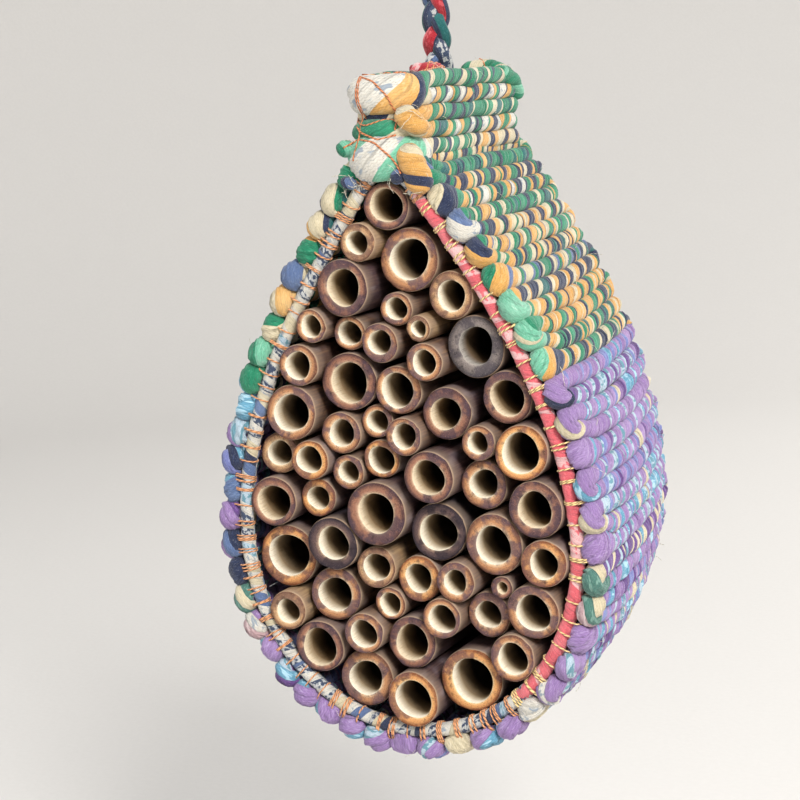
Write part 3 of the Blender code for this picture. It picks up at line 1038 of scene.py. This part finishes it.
def make_hoops():
    """The strips wound round both wire hoops, and the threads that sew the rope to them."""
    around = HOOP_LINE.length
    navy_from, navy_to = PINK_TO + 2, around + PINK_FROM - 2
    pink = hoop_wrap("front_hoop_pink_wrap", PINK_FROM, PINK_TO + 4, 0.0, "qq", "qqoo")
    navy = hoop_wrap("front_hoop_navy_wrap", PINK_TO, around + PINK_FROM + 5, 0.0, "wdw", "nwscbc")
    rear = hoop_wrap("back_hoop_wrap", 0.0, around + 6, DEPTH, "dw", "nnnscb")
    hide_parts("front_hoop")
    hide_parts("back_hoop")
    straw = thread_material("thread_straw", (246, 214, 150))
    copper = thread_material("thread_copper", (226, 160, 112))
    bindings("pink_side_bindings", PINK_FROM, PINK_TO, 0.0, 5.6, straw)
    bindings("navy_side_bindings", navy_from, navy_to, 0.0, 5.2, copper)
    bindings("back_bindings", 3.0, around, DEPTH, 7.5, copper)


# ---------------------------------------------------------------- the back

PANEL_PITCH = 5.2
PANEL_ROWS = 3


def make_back():
    """Rope laid to and fro across the back, three rows to a piece."""
    low, high = node_box("back_panel")
    half = PANEL_PITCH / 2
    levels = np.arange(low[2] + half, BACK_HIGH[2] - 2 * HOOP_RADIUS - half, PANEL_PITCH)
    middle_y = (low[1] + high[1]) / 2 - 0.3

    def reach(z):
        h = (z - WIDEST_Z - TAPER_CENTRE) / BACK_HEIGHT_SHARE + TAPER_CENTRE
        x = np.interp(h, SIDE[:, 1], SIDE[:, 0])
        return max(1.5, x * BACK_WIDTH_SHARE - HOOP_RADIUS - 1.5)

    first = None
    for number in range(0, len(levels), PANEL_ROWS):
        points = []
        for k, z in enumerate(levels[number:number + PANEL_ROWS]):
            side = 1 if (number + k) % 2 == 0 else -1
            x = reach(z) - half
            for step in np.linspace(-1, 1, 40):
                points.append((side * x * step, middle_y, z + 0.25 * math.sin(2.1 * step + z)))
            turn_x = min(x, reach(z + PANEL_PITCH) - half)
            for a in np.linspace(0, math.pi, 9)[1:-1]:
                aside = turn_x + (x - turn_x) * (1 - a / math.pi) + half * math.sin(a)
                points.append((side * aside, middle_y, z + half * (1 - math.cos(a))))
        name = f"back_panel_rope_{number // PANEL_ROWS + 1:02d}"
        source = sway("back", number)
        path = Path(points, (0.0, 1.0, 0.0), half * 1.05, 2.1, 0.55)
        upper = levels[number] - WIDEST_Z > ROPE_CHANGE
        pick = row_fabrics(upper, source)
        strips = UPPER_STRIPS if upper else LOWER_STRIPS
        piece = wound_strips(name, path, strips, 0.13, pick, source, columns=12)
        first = first or piece
    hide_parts("back_panel")


# ---------------------------------------------------------------- the neck

def neck_ring(name, level, half_wide, front, back, knot, colours, source, opening=0.0):
    """One horizontal turn of rope round the neck. knot: (level, half height, half depth) of the fat
    bead that it makes across the front; opening pushes the sides apart round the hanger."""
    straight = np.linspace(0, 1, 50)
    side = np.full(50, half_wide)
    bend = np.linspace(0, math.pi, 26)
    across_bend, along_bend = half_wide * np.cos(bend), half_wide * np.sin(bend)
    y0, y1 = front + half_wide, back - half_wide
    x = np.concatenate([-side, -across_bend, side, across_bend])
    y = np.concatenate([
        y1 + (y0 - y1) * straight, y0 - along_bend, y0 + (y1 - y0) * straight, y1 + along_bend
    ])
    if opening:
        x = x + np.sign(x) * opening * np.exp(-(y / 6.5) ** 2)
    near = eased((front + 16 - y) / 14)
    rear = np.clip((y - back + 12) / 12, 0, 1)
    knot_level, knot_high, knot_deep = knot
    z = WIDEST_Z + level + (knot_level - level) * near + 0.25 * np.sin(0.2 * y + level)
    points = np.stack([x, y, z], axis=1)
    middle = np.stack([np.zeros_like(x), np.clip(y, y0, y1), z], axis=1)
    across = 3.0 + (knot_high - 3.0) * near + 0.4 * rear
    outward = 2.9 + (knot_deep - 2.9) * near + 0.5 * rear
    path = Path(points, points - middle, across, outward, 0.5 + 0.55 * near)
    piece = wound_strips(name, path, UPPER_STRIPS, 0.13, colours, source, columns=20)
    return piece


NECK_RINGS = (
    # level, half width, front, back, knot (level, half height, half depth), knot's fabrics, opening
    (127.5, 9.6, -50.0, 47.0, (125.5, 7.2, 5.4), "mgmwmw", 0.0),
    (133.0, 9.2, -49.0, 46.0, (134.0, 3.6, 3.6), "yyggcy", 0.0),
    (138.4, 9.2, -46.0, 47.0, (138.5, 3.0, 3.0), "ygcncy", 0.0),
    (143.8, 9.0, -46.0, 46.0, (143.6, 2.8, 2.8), "cynygc", 0.0),
    (149.2, 8.8, -48.0, 45.0, (144.6, 6.6, 5.4), "ynwwyn", 1.3),
)
ROOF_TURNS = (
    # level, half width, front, back, opening
    (148.6, 3.1, -40.0, 38.0, 7.4),
    (143.0, 3.1, -41.0, 39.0, 6.4),
)


def make_neck():
    """Rings of rope stacked on the arch's tip, fat across the front, and two turns filling the roof."""
    pieces = []
    turn_rings = sum(UPPER_STRIPS)
    for number, (level, half_wide, front, back, knot, bead, opening) in enumerate(NECK_RINGS):
        source = sway("neck", number)
        pick = row_fabrics(True, source)
        # Mesh rings up to the middle of the front: 0.5 mm apart on the side, 0.9 mm near the knot.
        straight = back - front - 2 * half_wide
        knot_at = (straight - 8) / 0.5 + (math.pi * half_wide / 2 + 8) / 0.9 - 0.6 * turn_rings

        def colours(turn, strip, middle):
            spot = (middle - knot_at) / turn_rings + 1.0
            if 0 <= spot < 2:
                return bead[int(spot * 3)]
            return pick(turn, strip, middle)

        name = f"neck_ring_{number + 1}"
        pieces.append(neck_ring(name, level, half_wide, front, back, knot, colours, source, opening))
    for number, (level, half_wide, front, back, opening) in enumerate(ROOF_TURNS):
        source = sway("roof", number)
        name, knot = f"roof_turn_{number + 1}", (level, 3.0, 2.9)
        pick = row_fabrics(True, source)
        pieces.append(neck_ring(name, level, half_wide, front, back, knot, pick, source, opening))
    return pieces


# ---------------------------------------------------------------- loose cloth, lashings and fibres

def smooth_line(corners, step=0.5):
    """A rounded line through the corners."""
    corners = np.array(corners, float)
    run = running(lengths(corners))
    at = np.linspace(0, run[-1], max(12, int(run[-1] / step)))
    return soften(read_line(corners, run, at), int(2.0 / step) ** 2)


def lump(name, corners, radius, word, out=(0.0, -1.0, 0.0)):
    """A short fat twist of cloth with rounded ends; heights are measured on the teardrop."""
    line = smooth_line(corners)
    line[:, 2] += WIDEST_Z
    path = Path(line, out, radius, radius * 0.92, 0.55)
    path.round_off(radius, start=True, end=True)

    def colours(turn, strip, middle):
        return word[(turn * 3 + strip) % len(word)]

    piece = wound_strips(name, path, (8, 6, 7), 0.16, colours, sway(name))
    return piece


LUMPS = (
    # name, corners (x, y, h), radius, fabrics
    ("neck_lump_1", ((7.5, -51.5, 140.5), (11.5, -49.5, 136.5), (13.0, -44.0, 132.5)), 3.7, "ycy"),
    ("neck_lump_2", ((9.5, -51.5, 129.5), (12.2, -51.0, 122.0), (14.2, -49.0, 113.5)), 4.5, "ycyyn"),
    ("neck_lump_3", ((5.2, -51.5, 121.5), (8.4, -51.5, 117.5)), 3.3, "ssn"),
    ("neck_lump_4", ((-10.5, -50.5, 119.5), (-12.5, -49.5, 116.0)), 3.3, "ssn"),
    ("neck_lump_5", ((-13.0, -50.0, 126.0), (-12.0, -47.0, 131.0)), 3.4, "mgm"),
    ("neck_lump_6", ((-8.5, 39.0, 151.0), (-1.0, 46.0, 151.5), (8.0, 44.0, 148.5)), 3.7, "ggc"),
    ("neck_lump_7", ((-5.0, 49.0, 146.5), (4.0, 49.5, 143.0)), 4.0, "ycn"),
    ("neck_lump_8", ((8.5, 30.0, 150.5), (10.5, 40.0, 147.0), (9.5, 47.0, 141.0)), 3.3, "gmg"),
)


def surface_of(pieces):
    """One ray-casting tree over several pieces, in millimetres."""
    points, faces = [], []
    for piece in pieces:
        base = len(points)
        place = piece.matrix_world
        points += [place @ v.co / MM for v in piece.data.vertices]
        faces += [[base + v for v in p.vertices] for p in piece.data.polygons]
    return BVHTree.FromPolygons(points, faces)


def drape(tree, corners, front, source):
    """Thread laid over the pieces, drawn as seen from the front or from above."""
    corners = np.array(corners)
    spots = []
    for a, b in zip(corners[:-1], corners[1:]):
        for t in np.linspace(0, 1, max(3, int(np.linalg.norm(b - a) / 0.8)), endpoint=False):
            x, other = a + (b - a) * t
            if front:
                origin, aim = Vector((x, -90.0, other + WIDEST_Z)), Vector((0, 1, 0))
            else:
                origin, aim = Vector((x, other, WIDEST_Z + 175.0)), Vector((0, 0, -1))
            hit = tree.ray_cast(origin, aim, 60.0)[0]
            if hit is not None:
                spots.append(np.array(hit) - np.array(aim) * 0.2)
    return tube(soften(np.array(spots), 4), 0.3 * source.uniform(0.85, 1.15))


# Corners (x, h) of threads drawn over the front, and (x, y) of threads drawn over the roof.
FRONT_LASHINGS = (
    ((-6.0, 151.5), (-6.3, 145.0), (-6.0, 138.0), (-6.5, 132.0), (-8.0, 124.0)),
    ((-5.2, 151.5), (-5.4, 144.0), (-5.0, 137.0)),
    ((-6.0, 151.0), (0.0, 149.5), (5.0, 144.5), (6.5, 137.0), (6.0, 133.0)),
    ((-12.0, 129.0), (-7.0, 131.5), (0.0, 130.5), (6.0, 125.5), (9.0, 119.5)),
    ((-11.5, 139.0), (-6.0, 133.5), (1.0, 131.0), (7.0, 132.5)),
    ((-9.5, 137.0), (-4.0, 135.5), (3.0, 137.5), (9.0, 136.0)),
)
FIRST_LASHING = ((-5.0, -20.0), (-6.0, -38.0), (-6.0, -47.0))
ROOF_LASHINGS = (
    ((-6.0, -46.0), (0.0, -44.0), (5.0, -36.0), (7.5, -24.0), (6.5, -10.0)),
    ((-5.0, -46.5), (2.0, -42.0), (6.5, -32.0), (6.0, -18.0), (3.5, -6.5)),
    ((-7.0, -45.0), (-1.0, -40.0), (3.0, -42.0), (8.5, -30.0), (8.5, -14.0)),
    ((5.0, 12.0), (7.5, 26.0), (5.0, 38.0), (-4.0, 45.0)),
    ((-7.0, 34.0), (0.0, 40.0), (7.0, 42.0)),
)


def make_lashings(neck):
    """Cloth lumps, copper thread over the front knots and the roof, and the scrap of red cloth."""
    lumps = [lump(*each) for each in LUMPS]
    scrap_line = ((1.5, -27.0, 152.2), (5.0, -22.5, 153.0), (7.5, -15.0, 152.4))
    scrap = lump("roof_red_scrap", scrap_line, 1.9, "eeo", (0.0, 0.0, 1.0))
    copper = thread_material("thread_lashing", (214, 132, 84))
    source = sway("lashings")
    tree = surface_of(neck + lumps + [scrap])
    threads = [drape(tree, FIRST_LASHING, False, source)]
    threads += [drape(tree, corners, True, source) for corners in FRONT_LASHINGS]
    threads += [drape(tree, corners, False, source) for corners in ROOF_LASHINGS]
    bundle("neck_lashings", threads, copper)
    return lumps


def fibre(start, away, along, source):
    """A loose thread end: leaves the cloth, bends over and wavers."""
    long = source.uniform(2.0, 7.5)
    turn = np.cross(away, along)
    t = np.linspace(0, 1, 9)[:, None]
    curl = source.uniform(-1.0, 1.0)
    lift = source.uniform(0.35, 1.3)
    line = start + along * long * t + away * lift * np.sin(math.pi * (0.1 + 0.95 * t)) - away * 0.3
    line += turn * (curl * long * 0.35 * t * t + 0.15 * np.sin(9 * t + curl * 5))
    return tube(line, source.uniform(0.05, 0.1), 4)


def make_fibres(pieces, name, material, count):
    """Loose threads that stand off the worn cloth."""
    source = sway(name)
    tubes = []
    for _ in range(count):
        piece = source.choice(pieces)
        mesh = piece.data
        vertex = mesh.vertices[source.randrange(len(mesh.vertices))]
        start = np.array(vertex.co) / MM
        away = np.array(vertex.normal)
        inward = np.array([start[0], 0.0, start[2] - WIDEST_Z])
        if start[1] > FRONT_Y + 3 and (away * inward).sum() < 0:
            continue
        along = np.array([source.uniform(-1, 1) for _ in range(3)])
        along -= away * (along * away).sum()
        along /= np.linalg.norm(along)
        tubes.append(fibre(start, away, along, source))
    bundle(name, tubes, material)


# ---------------------------------------------------------------- the canes

CANE_COLUMNS = 40

# Cut faces that differ from the common tan, by cane number.
KIND_CANES = {
    "charcoal": (11,),
    "smoked": (34, 38),
    "orange": (23, 25, 27, 32, 36, 37, 40, 53, 54),
    "umber": (1, 4, 13, 16, 21, 28, 30, 31, 33, 47, 51),
    "pale": (2, 6, 10, 24, 39, 43),
}


def bark_material(name, base, streak, bloom):
    """Bamboo skin: mottled, streaked along the cane, with painted light near the cut and a painted highlight
    on its rim. UVs: mm round, mm from the cut.
    """
    made, tree, uv, _ = new_material(name)
    from_cut = add(tree, "SeparateXYZ", Vector=uv).outputs[1]
    fibres = noise(tree, uv, 1.0, 4.0, (1.6, 0.05, 1.0))
    fine = noise(tree, uv, 1.0, 3.0, (6.0, 0.3, 1.0))
    mottle = noise(tree, uv, 0.22, 4.0, (1.0, 0.6, 1.0))
    colour = tint(tree, srgb(base), streak, fibres, 0.42, 0.66)
    colour = tint(tree, colour, bloom, mottle, 0.5, 0.72, 0.75)
    colour = tint(tree, colour, (38, 24, 24), mottle, 0.44, 0.3, 0.8)
    colour = tint(tree, colour, (205, 180, 150), fine, 0.66, 0.8, 0.5)
    # Painted light: the bark is lighter within 7 mm of the cut.
    colour = tint(tree, colour, (176, 156, 138), from_cut, 7.0, 0.5, 0.45)
    # Painted highlight: a pale line round the rim at the cut.
    colour = tint(tree, colour, (196, 168, 138), from_cut, 0.9, 0.15, 0.6)
    rough = between(tree, mottle, 0.3, 0.7, 0.38, 0.62)
    normal = bump(tree, fine, 0.03, bump(tree, fibres, 0.10))
    finish_material(tree, colour, rough, normal, Specular_IOR_Level=0.45)
    return made


def face_material(name, outer, middle, inner, edge, stain):
    """The sawn end: dense fibres outside, softer pith inside. UVs: mm round, share across the wall."""
    made, tree, uv, flat = new_material(name)
    share = add(tree, "SeparateXYZ", Vector=uv).outputs[1]
    cloud = noise(tree, flat, 420.0, 4.0)
    bundles = add(tree, "TexVoronoi", Vector=flat, Scale=2300.0).outputs["Distance"]
    patches = noise(tree, flat, 150.0, 3.5)
    speck = noise(tree, flat, 3600.0, 2.0)
    shifted = add(tree, "Math", {"operation": "MULTIPLY_ADD"}, Value=cloud)
    shifted.inputs[1].default_value = 0.5
    tree.links.new(share, shifted.inputs[2])
    spot = shifted.outputs[0]
    colour = tint(tree, srgb(outer), middle, spot, 0.44, 0.78)
    colour = tint(tree, colour, inner, spot, 0.92, 1.22)
    colour = tint(tree, colour, edge, share, 0.9, 1.0, 0.8)
    colour = tint(tree, colour, darker(outer, 0.45), bundles, 0.34, 0.16, 0.75)
    colour = tint(tree, colour, stain, patches, 0.48, 0.56, 0.82)
    colour = tint(tree, colour, darker(stain, 0.6), cloud, 0.56, 0.7, 0.7)
    colour = tint(tree, colour, middle, cloud, 0.44, 0.27, 0.6)
    bright = [min(255, c * 1.25 + 20) for c in middle]
    colour = tint(tree, colour, bright, speck, 0.6, 0.8, 0.6)
    rough = between(tree, cloud, 0.3, 0.7, 0.6, 0.85)
    normal = bump(tree, bundles, 0.05, bump(tree, cloud, 0.25))
    finish_material(tree, colour, rough, normal, Specular_IOR_Level=0.25)
    return made


def bore_material(name, pale, shade):
    """The hollow's papery lining, with painted shade that darkens it deeper in. UVs: mm round, mm from the
    cut.
    """
    made, tree, uv, _ = new_material(name)
    fibres = noise(tree, uv, 1.0, 4.0, (2.2, 0.16, 1.0))
    grit = noise(tree, uv, 2.2, 3.0)
    depth = add(tree, "SeparateXYZ", Vector=uv).outputs[1]
    colour = tint(tree, srgb(pale), shade, fibres, 0.5, 0.75, 0.7)
    colour = tint(tree, colour, darker(pale, 0.7), grit, 0.56, 0.7, 0.6)
    # Painted shade: the lining darkens to brown and then near black deeper into the bore.
    colour = tint(tree, colour, shade, depth, 1.5, 7.0, 0.6)
    colour = tint(tree, colour, (112, 84, 48), depth, 2.5, 7.0, 0.75)
    colour = tint(tree, colour, (26, 18, 12), depth, 6.0, 17.0, 0.97)
    normal = bump(tree, grit, 0.05, bump(tree, fibres, 0.14))
    finish_material(tree, colour, 0.85, normal, Specular_IOR_Level=0.15)
    return made


BARKS = {
    # base, streaks, bloom
    "brown": ((92, 70, 62), (128, 98, 76), (124, 108, 108)),
    "purple": ((76, 58, 62), (106, 82, 76), (128, 114, 120)),
    "straw": ((148, 118, 86), (180, 150, 112), (120, 100, 88)),
    "dark": ((42, 35, 40), (62, 50, 50), (86, 80, 90)),
}
BORES = {
    # pale, shaded
    "cream": ((246, 237, 218), (206, 184, 148)),
    "tan": ((232, 216, 188), (178, 150, 112)),
    "grey": ((172, 166, 158), (84, 76, 72)),
}
CUTS = {
    # outer, middle and inner wall, edge of the bore, stain
    "tan": ((104, 68, 54), (178, 128, 90), (212, 178, 142), (236, 220, 190), (88, 68, 76)),
    "orange": ((126, 76, 48), (204, 146, 92), (220, 178, 126), (240, 220, 180), (104, 70, 66)),
    "umber": ((80, 54, 52), (146, 102, 82), (180, 146, 120), (226, 206, 174), (70, 54, 64)),
    "charcoal": ((74, 67, 68), (122, 112, 108), (142, 132, 126), (172, 164, 156), (68, 62, 68)),
    "smoked": ((50, 40, 46), (92, 72, 70), (150, 124, 106), (206, 188, 160), (44, 36, 44)),
    "pale": ((104, 72, 56), (182, 142, 104), (212, 182, 144), (240, 224, 192), (108, 78, 68)),
}
KINDS = {
    # cut face: bark, bore
    "tan": ("brown", "cream"),
    "orange": ("purple", "cream"),
    "umber": ("purple", "tan"),
    "charcoal": ("dark", "grey"),
    "smoked": ("dark", "cream"),
    "pale": ("straw", "cream"),
}


def cane_materials():
    """The materials of bark, cut face and bore for each kind of cane."""
    barks = {key: bark_material("bark_" + key, *colours) for key, colours in BARKS.items()}
    bores = {key: bore_material("bore_" + key, *colours) for key, colours in BORES.items()}
    cuts = {key: face_material("cut_" + key, *colours) for key, colours in CUTS.items()}
    return {key: (barks[bark], cuts[key], bores[bore]) for key, (bark, bore) in KINDS.items()}


def cane_rings(radius, length, bore, source):
    """(radius, distance from the cut, zone, uv row) of the rings that make a cane, back end first."""
    deep = length - 7.0
    node_at = source.uniform(0.45, 0.8) * length
    rings = [(0.001, length, 0, length), (0.55 * radius, length, 0, length)]
    rings.append((0.93 * radius, length - 0.3, 0, length))
    behind = list(np.linspace(length - 1.2, node_at + 3, 5))
    for y in behind + [node_at + k for k in (1.6, 0.8, 0.2, -0.6, -1.6)]:
        groove = 0.2 * math.exp(-((y - node_at + 1.4) / 0.8) ** 2)
        ridge = 0.3 * math.exp(-((y - node_at) / 1.0) ** 2) - groove
        rings.append((radius - 0.04 + ridge * 0.5, y, 0, y))
    for y in np.linspace(node_at - 3, 3.0, 6):
        rings.append((radius - 0.04 + 0.1 * (1 - y / length), y, 0, y))
    rings += [(radius + 0.08, 1.2, 0, 1.2), (radius + 0.06, 0.5, 0, 0.5), (radius - 0.15, 0.1, 0, 0.1)]
    wall = radius - 0.3 - bore
    for share in (0.0, 0.15, 0.35, 0.6, 0.85):
        rings.append((bore + 0.15 + wall * (1 - share), 0.0, 1, share))
    rings += [(bore + 0.04, 0.16, 1, 1.0), (bore, 0.6, 2, 0.6)]
    for y in (1.6, 3.2, 6.0, 10.0, 18.0, 30.0, 45.0, deep - 1):
        rings.append((bore * (1 - 0.03 * math.sin(y)), y, 2, y))
    rings += [(bore * 0.6, deep, 2, deep), (0.001, deep + 0.4, 2, deep)]
    return rings


def make_cane(name, centre, radius, front, length, materials, source, bore_share):
    """One cane lying along Y with its cut end at y=front, slightly out of round."""
    bore = radius * bore_share
    rings = cane_rings(radius, length, bore, source)
    angle = around(CANE_COLUMNS)
    uniform = source.uniform
    oval = 0.018 * np.cos(2 * (angle - uniform(0, 3.1))) - 0.010
    bore_form = 0.04 * np.cos(2 * (angle - uniform(0, 3.1)))
    bore_form += 0.025 * np.cos(3 * angle + uniform(0, 6))
    drift = (uniform(-0.05, 0.05) * radius, uniform(-0.05, 0.05) * radius)
    lean = (uniform(-0.035, 0.035), uniform(-0.035, 0.035))
    chips = [(uniform(0, 6.28), uniform(0.1, 0.3), uniform(0.15, 0.6)) for _ in range(6)]
    saw = [uniform(0, 6.28) for _ in range(3)]
    points = []
    for ring_radius, y, zone, _ in rings:
        inner = np.clip((radius - ring_radius) / (radius - bore), 0, 1)
        shape = 1 + oval * (1 - inner) + bore_form * inner
        r = ring_radius * shape
        x = r * np.cos(angle) + drift[0] * inner
        z = r * np.sin(angle) + drift[1] * inner
        near = math.exp(-y / 2.5)
        depth = y + near * (lean[0] * x + lean[1] * z) + near * 0.06 * np.sin(4 * angle + saw[0])
        depth = depth + near * 0.05 * np.sin(9 * angle + saw[1] + ring_radius)
        if zone == 1 and inner < 0.12 or (zone == 0 and y < 0.7):
            for at, wide, deep in chips:
                gap = np.angle(np.exp(1j * (angle - at)))
                depth = depth + deep * np.exp(-(gap / wide) ** 2)
        points.append(np.stack([x, depth, z], axis=1))
    points = np.vstack(points)
    faces = ring_quads(len(rings), CANE_COLUMNS)
    slots, spans = [], []
    for (_, _, zone_before, v0), (_, _, zone, v1) in zip(rings[:-1], rings[1:]):
        slots += [zone] * CANE_COLUMNS
        spans.append((v0 if zone_before == zone else v1, v1))
    uvs = ring_uvs(np.arange(CANE_COLUMNS + 1) * 2 * math.pi * radius / CANE_COLUMNS, spans)
    if volume(points, np.array(faces)) < 0:
        faces = [f[::-1] for f in faces]
        uvs = [uvs[4 * (n // 4) + 3 - n % 4] for n in range(len(uvs))]
    spin = uniform(0, 200)
    uvs = [(u + spin, v) for u, v in uvs]
    points = points + [centre[0], front, centre[1]]
    piece = new_piece(name, points, faces, materials, slots, uvs)
    return piece


def nestled(neighbours, radius):
    """Where a thin cane settles between its neighbours."""
    spot = np.mean([centre for centre, _ in neighbours], axis=0)
    for _ in range(200):
        for centre, size in neighbours:
            away = spot - centre
            gap = np.linalg.norm(away)
            spot = spot + away / gap * max(0.0, size + radius + 0.25 - gap) * 0.5
    return spot


def make_canes():
    """All canes where the CAD has them, and the thinnest one between three of them."""
    materials = cane_materials()
    places = {}
    for name in sorted(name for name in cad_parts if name.startswith("bamboo_cane_")):
        low, high = node_box(name)
        number = int(name[-2:])
        centre = np.array([(low[0] + high[0]) / 2, (low[2] + high[2]) / 2])
        radius, length = (high[0] - low[0]) / 2, high[1] - low[1]
        places[number] = (centre, radius)
        kind = next((kind for kind, numbers in KIND_CANES.items() if number in numbers), "tan")
        source = sway(name)
        share = source.uniform(0.59, 0.71)
        title = f"cane_{number:02d}"
        cane = make_cane(title, centre, radius, low[1], length, materials[kind], source, share)
        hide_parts(name)
    radius = 3.75
    spot = nestled([places[n] for n in (35, 42, 49)], radius)
    umber = materials["umber"]
    make_cane("cane_55", spot, radius, FRONT_Y - 1.0, 55.0, umber, sway("thin"), 0.5)


make_camera()
make_stage()
make_hanger()
wall = make_wall()
make_hoops()
make_back()
neck = make_neck()
neck += make_lashings(neck)
make_canes()
frayed = thread_material("thread_frayed", (236, 228, 206))
make_fibres(neck + wall["upper"], "upper_loose_threads", frayed, 260)
make_fibres(wall["lower"], "lower_loose_threads", frayed, 200)
